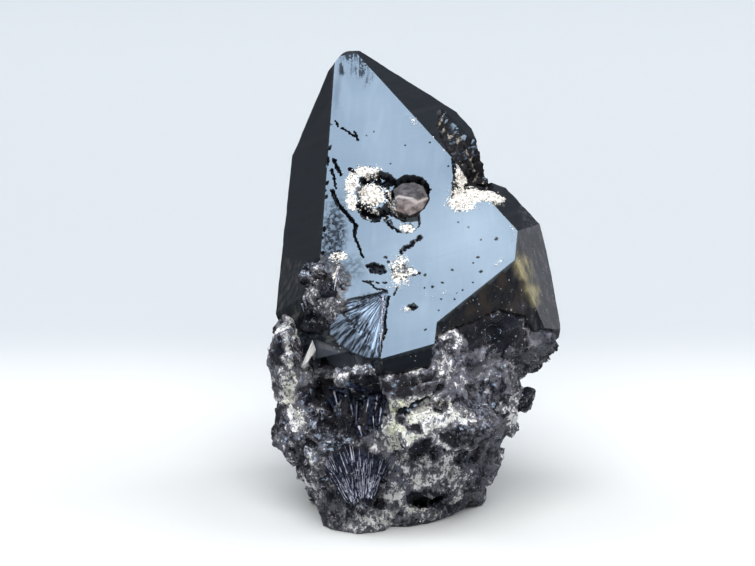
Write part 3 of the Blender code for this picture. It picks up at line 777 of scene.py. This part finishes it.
def growRock():
    mesh = cadStone.data.copy()
    mesh.transform(toMetres.inverted())
    bm = bmesh.new()
    bm.from_mesh(mesh)
    bmesh.ops.remove_doubles(bm, verts=bm.verts, dist=0.001)
    cutOff(bm, (0, 0, rock["top"]), (0, 0, 1))
    bmesh.ops.triangulate(bm, faces=bm.faces)
    bm.to_mesh(mesh)
    bm.free()
    obj = newObject("root", mesh)
    skin = obj.modifiers.new("skin", "REMESH")
    skin.mode = "VOXEL"
    skin.voxel_size = rock["cell"]
    mesh = evaluated(obj)
    points, normals = (perPoint(mesh, kind) for kind in ("co", "normal"))
    at = pixelsOf(points)
    front = ramp(normals @ -shotAhead, -0.15, 0.2)
    edge = ragged(at, 6.0, 3.0, 30)

    pale = rock["behind"] + (rock["pale"] - rock["behind"]) * front
    pale += layered(points, rock["tint"])
    green = 0.3 * ramp(noiseAt(points, 6.0, 33), 0.0, 0.5)
    smooth = 0.35 * ramp(noiseAt(points, 4.0, 34), -0.1, 0.4)
    for centre, radii, turn, *wanted in rockPatches.values():
        share = front * blot(edge, centre, radii, turn, 0.35)
        pale, green, smooth = (was + (now - was) * share for was, now in zip((pale, green, smooth), wanted))

    # the skin is rough where it stands clear of both crystals or grows over them
    standing = np.minimum(proud(points, mainCrystal), proud(points, sideCrystal))
    rough = ramp(standing, 0.1, 0.6)
    for outline in rock["cover"]:
        rough = np.maximum(rough, front * patch(edge, outline, 3.0) * ramp(0.7 + noiseAt(points, 2.2, 35), 0.2, 0.6))
    broken = [brokenInto(points, size, lean, rock["seed"]) for size, lean in rock["facets"]]
    relief = broken[0][0] + broken[1][0]
    borders = np.maximum(broken[0][1], 0.6 * broken[1][1]) * ramp(noiseAt(points, 3.0, 42), -0.25, 0.25)
    pale += (0.34 * (broken[0][2] - 0.5) + 0.3 * (broken[1][2] - 0.5)) * (1 - 0.5 * smooth)
    for number, (size, high) in enumerate(rock["lumps"]):
        relief += high * (1 - 0.8 * smooth) * noiseAt(points, size, 36 + number)
    size, high = rock["crustLumps"]
    relief += high * ramp(pale, 0.5, 0.8) * noiseAt(points, size, 39)
    relief *= 1 - 0.5 * smooth
    ledges = front * blot(edge, *rockPatches["ledges"][:3], 0.35)
    for *place, trimmed in rock["trims"]:
        relief -= trimmed * blot(at, *place, 0.4)
    relief += rock["ledgesHigh"] * ledges * noiseAt(at @ turned(-12) * (0.07, 1), 2.4, 64)
    floor = ramp(points[:, 2], 0.0, 0.8)  # the flat underside stays flat
    covering = rough * (1 - ramp(standing, 0.1, 0.6))
    offset = rough * (relief - 0.05) + 0.12 * covering - (1 - rough) * rock["sunk"]
    points = points + normals * (offset * floor)[:, None]
    points[:, 2] = np.maximum(points[:, 2], 0)
    points = np.clip(points, *(np.array(corner) * 1000 for corner in cadBox))
    movePoints(mesh, points)
    grains = rough * ramp(pale - 0.6 * smooth + 0.3 * noiseAt(points, 1.5, 40), 0.62, 1.0)
    looks = {"pale": pale, "green": green, "smooth": smooth, "borders": borders, "grains": grains}
    for name, values in looks.items():
        paint(mesh, name, values)
    return obj


class Wire:  # an output socket; sums on it add Math nodes
    def __init__(self, tree, socket):
        self.tree, self.socket = tree, socket

    def math(self, operation, *values):
        return self.tree.add("ShaderNodeMath", {"operation": operation}, dict(enumerate(values)))

    def __add__(self, other):
        return self.math("ADD", self, other)

    def __sub__(self, other):
        return self.math("SUBTRACT", self, other)

    def __rsub__(self, other):
        return self.math("SUBTRACT", other, self)

    def __mul__(self, other):
        return self.math("MULTIPLY", self, other)

    __radd__, __rmul__ = __add__, __mul__

    def between(self, low, high):  # 0 below low, 1 above high
        return self.tree.add("ShaderNodeMapRange", {"interpolation_type": "SMOOTHSTEP"}, {0: self, 1: low, 2: high})


class Tree:  # a node tree that is filled by one method
    def __init__(self, tree):
        self.tree = tree

    def add(self, kind, settings=None, inputs=None, out=0):
        node = self.tree.nodes.new(kind)
        for name, value in (settings or {}).items():
            if name == "stops":
                elements = node.color_ramp.elements
                while len(elements) < len(value):
                    elements.new(0.5)
                for element, (place, colour) in zip(elements, value):
                    element.position, element.color = place, (*colour, 1)
            else:
                setattr(node, name, value)
        for name, value in (inputs or {}).items():
            if isinstance(value, Wire):
                self.tree.links.new(value.socket, node.inputs[name])
            elif isinstance(value, tuple) and node.inputs[name].type == "RGBA":
                node.inputs[name].default_value = (*value, 1)
            else:
                node.inputs[name].default_value = value
        return Wire(self, node.outputs[out]) if node.outputs else node


class Finish(Tree):  # a material
    def __init__(self, name):
        self.material = bpy.data.materials.new(name)
        self.material.use_nodes = True
        super().__init__(self.material.node_tree)
        self.tree.nodes.clear()
        self.place = self.add("ShaderNodeTexCoord", out="Object")

    def painted(self, name):
        return self.add("ShaderNodeAttribute", {"attribute_name": name}, out="Fac")

    def mix(self, share, first, second):
        return self.add("ShaderNodeMix", {"data_type": "RGBA"}, {0: share, 6: first, 7: second}, out=2)

    def speckle(self, size, detail=2.0, roughness=0.5, stretch=(1, 1, 1)):  # noise with lumps of that size in mm
        place = self.add("ShaderNodeMapping", {}, {"Vector": self.place, "Scale": stretch})
        given = {"Vector": place, "Scale": 1000 / size, "Detail": detail, "Roughness": roughness}
        return self.add("ShaderNodeTexNoise", {}, given)

    def facets(self, size, lean):  # heights in m of small flat breaks of that size in mm, each leaning its own way
        cell = self.add("ShaderNodeTexVoronoi", {}, {"Vector": self.place, "Scale": 1000 / size}, out="Color")
        centre = Wire(self, cell.socket.node.outputs["Position"])
        away = self.add("ShaderNodeVectorMath", {"operation": "SUBTRACT"}, {0: self.place, 1: centre})
        slope = self.add("ShaderNodeVectorMath", {"operation": "SUBTRACT"}, {0: cell, 1: (0.5, 0.5, 0.5)})
        return lean * self.add("ShaderNodeVectorMath", {"operation": "DOT_PRODUCT"}, {0: away, 1: slope}, out="Value")

    def stone(self, colour, roughness, more=None):
        given = {"Base Color": colour, "Roughness": roughness, "IOR": 1.54, **(more or {})}
        return self.add("ShaderNodeBsdfPrincipled", {}, given)

    def finish(self, shader):
        self.add("ShaderNodeOutputMaterial", {}, {"Surface": shader})
        return self.material


class Recipe(Tree):  # a Geometry Nodes tree with named inputs
    def __init__(self, name, inputs):
        super().__init__(bpy.data.node_groups.new(name, "GeometryNodeTree"))
        self.identifiers = {}
        for label, kind in {"Geometry": "NodeSocketGeometry", **inputs}.items():
            socket = self.tree.interface.new_socket(label, in_out="INPUT", socket_type=kind)
            self.identifiers[label] = socket.identifier
        self.tree.interface.new_socket("Geometry", in_out="OUTPUT", socket_type="NodeSocketGeometry")
        self.source = self.tree.nodes.new("NodeGroupInput")

    def given(self, label):
        return Wire(self, self.source.outputs[label])

    def finish(self, shape, material):
        plain = self.add("GeometryNodeRealizeInstances", {}, {"Geometry": shape})
        dressed = self.add("GeometryNodeSetMaterial", {}, {"Geometry": plain, "Material": material})
        self.add("NodeGroupOutput", {}, {"Geometry": dressed})

    def applyTo(self, obj, values):
        modifier = obj.modifiers.new(self.tree.name, "NODES")
        modifier.node_group = self.tree
        for label, value in values.items():
            modifier[self.identifiers[label]] = value
        return evaluated(obj)


def grainRecipe():
    numbers = {"Density": "NodeSocketFloat", "Smallest": "NodeSocketFloat", "Largest": "NodeSocketFloat"}
    recipe = Recipe("grains", {**numbers, "Seed": "NodeSocketInt", "Material": "NodeSocketMaterial"})
    here = recipe.add("GeometryNodeInputNamedAttribute", {"data_type": "FLOAT"}, {"Name": "grains"})
    spread = {"Mesh": recipe.given("Geometry"), "Density": here * recipe.given("Density"), "Seed": recipe.given("Seed")}
    places = recipe.add("GeometryNodeDistributePointsOnFaces", {"distribute_method": "RANDOM"}, spread)
    ball = recipe.add("GeometryNodeMeshIcoSphere", {}, {"Radius": 1.0, "Subdivisions": 1})
    anyWay, anySize = {"data_type": "FLOAT_VECTOR"}, {"data_type": "FLOAT"}
    jitter = recipe.add("FunctionNodeRandomValue", anyWay, {0: (-0.3, -0.3, -0.3), 1: (0.3, 0.3, 0.3), "Seed": 3})
    chunk = recipe.add("GeometryNodeSetPosition", {}, {"Geometry": ball, "Offset": jitter})
    turn = recipe.add("FunctionNodeRandomValue", anyWay, {0: (0, 0, 0), 1: (6.28, 6.28, 6.28), "Seed": 4})
    sizes = {2: recipe.given("Smallest"), 3: recipe.given("Largest"), "Seed": 5}
    sizes = recipe.add("FunctionNodeRandomValue", anySize, sizes, out=1)
    given = {"Points": places, "Instance": chunk, "Rotation": turn, "Scale": sizes}
    recipe.finish(recipe.add("GeometryNodeInstanceOnPoints", {}, given), recipe.given("Material"))
    return recipe


def needleRecipe():  # every edge becomes a slim crystal, thick at its first point and pointed at its last
    recipe = Recipe("needles", {"Point": "NodeSocketFloat", "Material": "NodeSocketMaterial"})
    lines = recipe.add("GeometryNodeMeshToCurve", {}, {"Mesh": recipe.given("Geometry")})
    own = recipe.add("GeometryNodeInputNamedAttribute", {"data_type": "FLOAT"}, {"Name": "thick"})
    along = recipe.add("GeometryNodeSplineParameter")
    taper = 1 - along * (1 - recipe.given("Point"))
    lines = recipe.add("GeometryNodeSetCurveRadius", {}, {"Curve": lines, "Radius": own * taper})
    ring = recipe.add("GeometryNodeCurvePrimitiveCircle", {}, {"Resolution": 4, "Radius": 1.0})
    given = {"Curve": lines, "Profile Curve": ring, "Scale": own * taper, "Fill Caps": True}
    made = recipe.add("GeometryNodeCurveToMesh", {}, given)
    recipe.finish(made, recipe.given("Material"))
    return recipe


morion = {  # the crystals' colours; of a pair the first is the darker
    "glass": ((0.008, 0.0105, 0.014), (0.014, 0.0165, 0.021)),
    "haze": (0.8, 0.93, 1.0),
    "ruin": (0.016, 0.014, 0.014),
    "right": (0.085, 0.08, 0.095),
    "front": (0.04, 0.03, 0.024),
    "leftLow": (0.1, 0.095, 0.085),
    # painted reflection: the fan's fibres pale blue, as if they mirrored the light above
    "fan": ((0.014, 0.024, 0.05), (0.27, 0.35, 0.47)),
    "facet": (0.07, 0.08, 0.1),
    "olive": (0.3, 0.26, 0.13),
    "paintedGlint": (0.6, 0.62, 0.68),
    "earthy": ((0.014, 0.011, 0.01), (0.2, 0.17, 0.16)),
    "ochre": ((0.2, 0.14, 0.08), (0.62, 0.56, 0.48)),
    "pale": ((0.24, 0.21, 0.2), (0.94, 0.9, 0.81)),
    "hollow": (0.004, 0.004, 0.006),
}


def glassyBlack():
    finish = Finish("morion")
    painted = finish.painted
    grain = finish.speckle(0.35, 3, 0.6)
    broad = finish.speckle(3.0, 3, 0.6)
    upright = finish.speckle(1.1, 4, 0.65, (1.6, 1.6, 0.35))
    cloudy = finish.speckle(2.4, 4, 0.65, (1.2, 1.2, 0.6))
    levels = finish.add("ShaderNodeCombineXYZ", {}, {2: painted("height")})
    bands = finish.add("ShaderNodeTexNoise", {}, {"Vector": levels, "Scale": 130.0, "Detail": 3.0})
    along = finish.add("ShaderNodeCombineXYZ", {}, {0: painted("fanTurn") * 60, 1: painted("fanReach") * 9})
    fibre = finish.add("ShaderNodeTexNoise", {}, {"Vector": along, "Scale": 1.0, "Detail": 4.0, "Roughness": 0.7})

    pale = (painted("pale") + 1.6 * (grain - 0.5)).between(0.55, 0.75)
    earthy = (painted("earthy") + 1.2 * (broad - 0.5) + 0.5 * (grain - 0.5)).between(0.35, 0.65)
    black = (painted("black") + 0.3 * (grain - 0.5)).between(0.35, 0.6)
    shade = (painted("shade") + 0.35 * (grain - 0.5) * painted("shade")).between(0.0, 1.0)
    ochre = (painted("ochre") + 0.9 * (grain - 0.5)).between(0.3, 0.6)
    ruin, fan = painted("ruin"), painted("fan")
    # painted highlight: tiny pale specks on the front and right flanks, as glints
    paintedGlint = (grain - 0.5).between(0.17, 0.22) * (painted("front") + 0.6 * painted("right"))

    colour = finish.mix(bands.between(0.45, 0.75), *morion["glass"])
    for share, layer in (  # from the bottom up
        (painted("haze"), morion["haze"]),
        (ruin, morion["ruin"]),
        ((painted("right") * (2.2 * (upright - 0.42))).between(0.0, 1.0), morion["right"]),
        (painted("front") * cloudy.between(0.38, 0.7), morion["front"]),
        (painted("leftLow") * upright.between(0.45, 0.75), morion["leftLow"]),
        # painted reflection: the fan's fibres take a pale blue, with painted shade in the troughs between them
        (fan.between(0.3, 0.7), finish.mix(fibre.between(0.36, 0.6), *morion["fan"])),
        ((painted("facet") * (0.4 + upright)).between(0.0, 1.0), morion["facet"]),
        (painted("olive") * cloudy.between(0.3, 0.65), morion["olive"]),
        (paintedGlint * 0.7, morion["paintedGlint"]),
        (earthy, finish.mix(grain.between(0.4, 0.75), *morion["earthy"])),
        (ochre, finish.mix(grain.between(0.35, 0.65), *morion["ochre"])),
        (pale, finish.mix(grain.between(0.33, 0.62), *morion["pale"])),
    ):
        colour = finish.mix(share, colour, layer)
    dulled = painted("right") + painted("front") + fan + painted("leftLow")
    rough = 0.07 + 0.5 * pale + 0.42 * earthy + 0.22 * ruin + 0.5 * ochre + 0.2 * dulled
    relief = grain * (pale + earthy + ruin) + upright * dulled + 0.5 * bands
    bump = finish.add("ShaderNodeBump", {}, {"Strength": 0.25, "Distance": 0.0001, "Height": relief})
    face = finish.stone(colour, rough, {"Normal": bump})
    # a dark, barely reflecting finish: on pits, cracks and broken spots, and as painted shade where the shade mask and
    # the fan's troughs call for it
    hollow = finish.stone(morion["hollow"], 0.5, {"Specular IOR Level": 0.08})
    dull = black + shade * 0.85 + fan * (1 - fibre.between(0.44, 0.6)) * 0.6 + ruin * 0.5
    return finish.finish(finish.add("ShaderNodeMixShader", {}, {0: dull.between(-0.2, 1.05), 1: face, 2: hollow}))


rootStone = {  # the root's colours; of a pair the first is the darker
    "black": ((0.009, 0.01, 0.015), (0.026, 0.025, 0.03)),
    "grey": ((0.075, 0.085, 0.12), (0.19, 0.18, 0.195)),
    "white": (0.78, 0.77, 0.78),
    "green": (0.56, 0.6, 0.4),
    "paintedGlint": (0.85, 0.87, 0.95),
}


def brokenRock():
    finish = Finish("brokenRock")
    fine = finish.speckle(0.32, 2, 0.6)
    middle = finish.speckle(0.85, 5, 0.76, (1.15, 1.15, 0.8))
    broad = finish.speckle(3.5, 2, 0.5)
    pale = finish.painted("pale")
    smooth = finish.painted("smooth")
    mottled = (1.2 * (middle - 0.5) + 0.4 * (fine - 0.5)) * (1.1 - 0.75 * smooth)
    gaps = finish.speckle(0.9, 4, 0.75).between(0.5, 0.6)
    grey = (pale * 0.75 + mottled).between(0.17, 0.37)
    white = (pale * 0.75 + 1.4 * mottled + 0.35 * (broad - 0.5)).between(0.47, 0.62)
    white = white * (1 - 0.8 * gaps) + (finish.painted("borders") * middle).between(0.3, 0.6) * 0.35
    # painted highlight: tiny pale specks over the root, as glints
    paintedGlint = ((fine - 0.5) * 1.4 + 0.25 * (middle - 0.5)).between(0.27, 0.32)
    green = finish.painted("green") * white * broad.between(0.4, 0.65)
    colour = finish.mix(broad.between(0.35, 0.65), *rootStone["black"])
    for share, layer in (
        (grey, finish.mix(broad, *rootStone["grey"])),
        (white.between(0.0, 1.0), rootStone["white"]),
        (green, rootStone["green"]),
        (paintedGlint * 0.6, rootStone["paintedGlint"]),
    ):
        colour = finish.mix(share, colour, layer)
    breaks = (finish.facets(1.1, 1.5) + finish.facets(0.45, 1.2) * (1.2 - smooth)) * 10000
    relief = breaks + 0.6 * fine * (1.1 - smooth) + 0.5 * middle
    bump = finish.add("ShaderNodeBump", {}, {"Strength": 0.8, "Distance": 0.0001, "Height": relief})
    return finish.finish(finish.stone(colour, 0.16 + 0.5 * white, {"Normal": bump}))


class Stone:  # the crystals and the root together, to set small pieces on
    def __init__(self, *objects):
        points, faces = [], []
        for obj in objects:
            first = len(points)
            points += [v.co.copy() for v in obj.data.vertices]
            faces += [[first + i for i in face.vertices] for face in obj.data.polygons]
        self.tree = bvhtree.BVHTree.FromPolygons(points, faces)

    def at(self, u, v, lift=0.0):  # the place on the stone that shows at a pixel, lifted towards the viewer
        ray = rayThrough(u, v).normalized()
        place = self.tree.ray_cast(Vector(shot["place"]), ray)[0]
        return place - lift * ray


# slim crystals: the needle fan, the black blades above it and the pale slivers between them
fan = {
    "foot": ((350, 506), (370, 500)),
    "rim": ((322, 464), (337, 446), (366, 446), (392, 460)),
    "dark": 620,
    "light": 170,
    "thick": 0.055,
    "seed": 8,
}
blades = [  # top, foot and thickness in mm
    ((341, 392), (350, 424), 0.55), ((347, 390), (355, 428), 0.5), ((334, 396), (345, 420), 0.4),
    ((354, 400), (359, 434), 0.5), ((361, 404), (363, 436), 0.5), ((371, 396), (369, 424), 0.55),
    ((378, 394), (377, 426), 0.45), ((366, 400), (367, 430), 0.4), ((384, 400), (381, 424), 0.3),
    ((329, 398), (339, 416), 0.35), ((330, 388), (350, 394), 0.3), ((346, 384), (372, 392), 0.4),
]
slivers = [
    ((334, 391), (342, 422), 0.14), ((338, 402), (341, 414), 0.18), ((357, 402), (356, 424), 0.12),
    ((369, 398), (366, 412), 0.14), ((378, 395), (375, 410), 0.2), ((381, 408), (379, 424), 0.15),
    ((359, 426), (362, 436), 0.22), ((351, 404), (353, 416), 0.12), ((373, 416), (374, 428), 0.12),
    ((383, 296), (380, 352), 0.12), ((304, 299), (307, 308), 0.2), ((302, 304), (304, 312), 0.16),
    ((339, 266), (336.5, 278), 0.13), ((336.5, 277), (334, 291), 0.11), ((337, 276), (341, 284), 0.09),
]
slim = {  # how far each kind lies off the stone in mm, how thick its tips stay, and its glass
    "fanDark": {"lift": 0.1, "point": 0.4, "glass": "needleBlack"},
    "fanLight": {"lift": 0.16, "point": 0.3, "glass": "needleLilac"},
    "blades": {"lift": 0.15, "point": 0.5, "glass": "needleBlack"},
    "slivers": {"lift": 0.4, "point": 0.2, "glass": "needleLilac"},
}
glasses = {  # dark and light colour, roughness
    "needleBlack": ((0.006, 0.008, 0.018), (0.04, 0.05, 0.085), 0.2),
    "needleLilac": ((0.14, 0.15, 0.22), (0.6, 0.61, 0.72), 0.25),
    "shardWhite": ((0.8, 0.79, 0.78), (0.97, 0.96, 0.96), 0.4),
}
shard = {
    "outline": [(312.5, 340), (316, 350), (315, 359), (310, 366), (304, 369), (301, 367), (305, 357), (310, 349)],
    "crest": [(312, 350), (308, 361)],
    "edge": 0.5,
    "thick": 1.2,
    "sunk": 0.3,
}


def linesOn(stone, name, lines, lift):  # a mesh of edges that lie on the stone, with a thickness at each
    points, edges, thick = [], [], []
    for start, end, wide in lines:
        first = len(points)
        foot, tip = (stone.at(u, v, lift) for u, v in (start, end))
        points += [foot, (foot + tip) / 2, tip]
        thick += [wide] * 3
        edges += [(first, first + 1), (first + 1, first + 2)]
    mesh = bpy.data.meshes.new(name)
    mesh.from_pydata(points, edges, [])
    obj = newObject(name, mesh)
    mesh.attributes.new("thick", "FLOAT", "POINT").data.foreach_set("value", thick)
    return obj


def fanLines(light):
    chance = random.Random(fan["seed"] + light)
    lines = []
    for _ in range(fan["light"] if light else fan["dark"]):
        t = chance.random()
        span = min(int(3 * t), 2)
        first, last = (np.array(fan["rim"][span + i], float) for i in (0, 1))
        rim = first + (last - first) * (3 * t - span)
        left, right = (np.array(p, float) for p in fan["foot"])
        foot = left + (right - left) * t
        near = chance.uniform(0.0, 0.75)
        far = min(1.0, near + chance.uniform(0.15, 0.4))
        jitter = np.array((chance.gauss(0, 1.6), chance.gauss(0, 1.6)))
        start, end = foot + (rim - foot) * near + jitter, foot + (rim - foot) * far + 0.6 * jitter
        lines.append((tuple(start), tuple(end), chance.uniform(0.5, 1.4) * fan["thick"]))
    return lines


# the tiny crystal in the right-hand pit, by its outline and crest in the picture, and its levels in mm
nub = {
    "outline": [(393, 188), (402, 182), (414, 181), (423, 185), (428, 197), (422, 208), (409, 214), (396, 209)],
    "crest": [(397, 203), (409, 200), (422, 196)],
    "base": 2.3,
    "rim": 0.35,
    "top": 0.3,
    "shadeFrom": 190,
    "shadeOver": 14,
}


def growShard(stone):
    points = [stone.at(u, v, shard["edge"]) for u, v in shard["outline"]]
    points += [stone.at(u, v, shard["thick"]) for u, v in shard["crest"]]
    points += [stone.at(u, v, -shard["sunk"]) for u, v in shard["outline"]]
    bm = bmesh.new()
    bmesh.ops.convex_hull(bm, input=[bm.verts.new(p) for p in points])
    return objectFrom(bm, "shard")


def growNub():
    face = mainCrystal["frontRhomb"]
    plane = attitude @ (faceNormal(*face[:2]) * face[2])
    normal = outward(face)
    eye = Vector(shot["place"])

    def onFace(pixel, lift):
        ray = rayThrough(*pixel)
        return eye + ray * ((plane - eye).dot(normal) / ray.dot(normal)) + normal * lift

    bm = bmesh.new()
    corners = [bm.verts.new(onFace(p, -nub[depth])) for depth in ("rim", "base") for p in nub["outline"]]
    corners += [bm.verts.new(onFace(p, nub["top"])) for p in nub["crest"]]
    bmesh.ops.convex_hull(bm, input=corners)
    obj = objectFrom(bm, "nub")
    seen = pixelsOf(perPoint(obj.data, "co"))
    paint(obj.data, "low", (seen[:, 1] - nub["shadeFrom"]) / nub["shadeOver"])
    return obj


crust = {  # the pale grains on each piece: how many and how large in mm, dark and light colour, greenness
    "faceCrust": {
        "grains": {"Density": 40.0, "Smallest": 0.035, "Largest": 0.11, "Seed": 3},
        "look": ("whiteCrust", (0.3, 0.27, 0.26), (0.95, 0.92, 0.87), 0.05),
    },
    "rootCrust": {
        "grains": {"Density": 5.0, "Smallest": 0.06, "Largest": 0.17, "Seed": 3},
        "look": ("greenCrust", (0.05, 0.05, 0.055), (0.8, 0.79, 0.78), 0.25),
    },
}


def crustMaterial(name, dark, light, green):
    finish = Finish(name)
    fine = finish.speckle(0.4, 2, 0.6)
    broad = finish.speckle(2.0, 3, 0.6)
    colour = finish.mix(fine.between(0.4, 0.6), dark, light)
    colour = finish.mix(broad.between(0.5, 0.62) * green, colour, (0.62, 0.63, 0.36))
    return finish.finish(finish.stone(colour, 0.5))


def slimMaterial(name, dark, light, roughness):
    finish = Finish(name)
    fine = finish.speckle(0.5, 2, 0.6)
    colour = finish.mix(fine.between(0.35, 0.7), dark, light)
    return finish.finish(finish.stone(colour, roughness))


def nubMaterial():
    finish = Finish("tinyCrystal")
    fine = finish.speckle(0.9, 3, 0.6)
    upper = finish.mix(fine.between(0.35, 0.7), (0.03, 0.028, 0.03), (0.1, 0.09, 0.09))
    lower = finish.mix(fine.between(0.35, 0.7), (0.06, 0.05, 0.05), (0.22, 0.18, 0.175))
    low = finish.painted("low")
    colour = finish.mix(low.between(0.3, 0.7), upper, lower)
    # painted highlight: a paler line along the crest
    colour = finish.mix(low.between(0.5, 0.57) * (1 - low.between(0.6, 0.68)), colour, (0.32, 0.29, 0.28))
    return finish.finish(finish.stone(colour, 0.22))


stage = {
    "floorNear": (0.57, 0.582, 0.585),
    "floorFar": (0.414, 0.434, 0.455),
    "wallShade": (0.46, 0.487, 0.515),
    "key": {"place": (-0.05, -0.8, 1.35), "size": 1.5, "power": 38.0, "colour": (1.0, 0.99, 0.97)},
    "fill": {"place": (0.7, 0.1, 0.8), "size": 0.8, "power": 9.0, "colour": (0.95, 0.97, 1.0)},
    "second": {"place": (-0.7, 0.3, 0.9), "size": 0.8, "power": 7.0, "colour": (0.95, 0.97, 1.0)},
    "card": {"place": (-0.1, -0.025, 0.5), "size": (0.36, 0.30), "glow": 11.6, "colour": (0.545, 0.75, 1.0),
             "aimed": False},
    "sideCard": {"place": (0.42, 0.32, 0.12), "size": (0.3, 0.3), "glow": 0.9, "colour": (0.9, 0.93, 1.0),
                 "aimed": True},
    "air": {"colour": (0.8, 0.88, 1.0), "front": 0.02, "around": 0.14},
}


def softLight(name, given):
    light = bpy.data.lights.new(name, "AREA")
    light.size = given["size"]
    light.energy = given["power"]
    light.color = given["colour"]
    obj = newObject(name, light)
    obj.location = given["place"]
    obj.rotation_euler = (Vector((0, 0, 0.02)) - obj.location).to_track_quat("-Z", "Y").to_euler()
    obj.visible_glossy = False


def glowingCard(name, given):  # seen in reflections alone
    bpy.ops.mesh.primitive_plane_add(size=1, location=given["place"])
    card = bpy.context.object
    card.name = name
    card.scale = (*given["size"], 1)
    if given["aimed"]:
        card.rotation_euler = (-card.location).to_track_quat("Z", "Y").to_euler()
    shine = Finish(name)
    glow = shine.add("ShaderNodeEmission", {}, {"Color": given["colour"], "Strength": given["glow"]})
    dress(card, shine.finish(glow))
    card.visible_camera = card.visible_diffuse = card.visible_shadow = False


def setStage():
    bpy.ops.mesh.primitive_plane_add(size=4, location=(0, 0, -0.00005))
    floor = bpy.context.object
    floor.name = "floor"
    paper = Finish("paper")
    depth = paper.add("ShaderNodeSeparateXYZ", {}, {0: paper.place}, out=1)
    # painted shade: the floor is lightest near the stone and darker farther back, and farthest off it takes the bluish
    # grey of a shaded backdrop wall
    colour = paper.mix(depth.between(0.035, 0.085), stage["floorNear"], stage["floorFar"])
    colour = paper.mix(depth.between(0.09, 0.34), colour, stage["wallShade"])
    matt = paper.add("ShaderNodeBsdfPrincipled", {}, {"Base Color": colour, "Roughness": 0.9})
    dress(floor, paper.finish(matt))
    floor.visible_glossy = False
    for name in ("key", "fill", "second"):
        softLight(name, stage[name])
    for name in ("card", "sideCard"):
        glowingCard(name, stage[name])
    world = bpy.data.worlds.new("air")
    bpy.context.scene.world = world
    world.use_nodes = True
    world.node_tree.nodes.clear()
    air = Tree(world.node_tree)
    ahead = air.add("ShaderNodeSeparateXYZ", {}, {0: air.add("ShaderNodeTexCoord", out="Generated")}, out=1)
    given = stage["air"]
    strength = given["front"] + (given["around"] - given["front"]) * ahead.between(-0.9, -0.2)
    glow = air.add("ShaderNodeBackground", {}, {"Color": given["colour"], "Strength": strength})
    air.add("ShaderNodeOutputWorld", {}, {"Surface": glow})


def setCamera():
    data = bpy.data.cameras.new("camera")
    data.lens = shot["lens"]
    data.sensor_width = shot["sensor"]
    data.clip_start, data.clip_end = 0.01, 10
    obj = newObject("camera", data)
    obj.location = Vector(shot["place"]) * 0.001
    obj.rotation_euler = (math.radians(shot["tilt"]), 0, 0)
    bpy.context.scene.camera = obj


setCamera()
bpy.context.scene.view_settings.view_transform = "Standard"
print("growing the crystals")
crystalPiece = growCrystals()
dress(crystalPiece, glassyBlack())
print("growing the root")
rockPiece = growRock()
dress(rockPiece, brokenRock())
stone = Stone(crystalPiece, rockPiece)

print("scattering the crust")
grains = grainRecipe()
crustPieces = []
for (name, given), source in zip(crust.items(), (crystalPiece, rockPiece)):
    piece = newObject(name, source.data.copy())
    grains.applyTo(piece, {**given["grains"], "Material": crustMaterial(*given["look"])})
    crustPieces.append(piece)

print("laying the slim crystals")
needles = needleRecipe()
glass = {name: slimMaterial(name, *given) for name, given in glasses.items()}
slimPieces = []
for (name, given), lines in zip(slim.items(), (fanLines(0), fanLines(1), blades, slivers)):
    piece = linesOn(stone, name, lines, given["lift"])
    needles.applyTo(piece, {"Point": given["point"], "Material": glass[given["glass"]]})
    slimPieces.append(piece)
shardPiece = growShard(stone)
dress(shardPiece, glass["shardWhite"])
slimPieces.append(shardPiece)
nubPiece = growNub()
dress(nubPiece, nubMaterial())

print("finishing the pieces")
for piece, slot, sharp in (
    (crystalPiece, "smoky_quartz", crystals["sharpFrom"]),
    (rockPiece, "smoky_quartz", None),
    *((piece, "pale_crust", 20) for piece in crustPieces),
    *((piece, "smoky_quartz", 20) for piece in slimPieces),
    (nubPiece, "smoky_quartz", 15),
):
    finishPiece(piece, slot, sharp)
    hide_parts("morion_quartz")
print("setting the stage")
setStage()
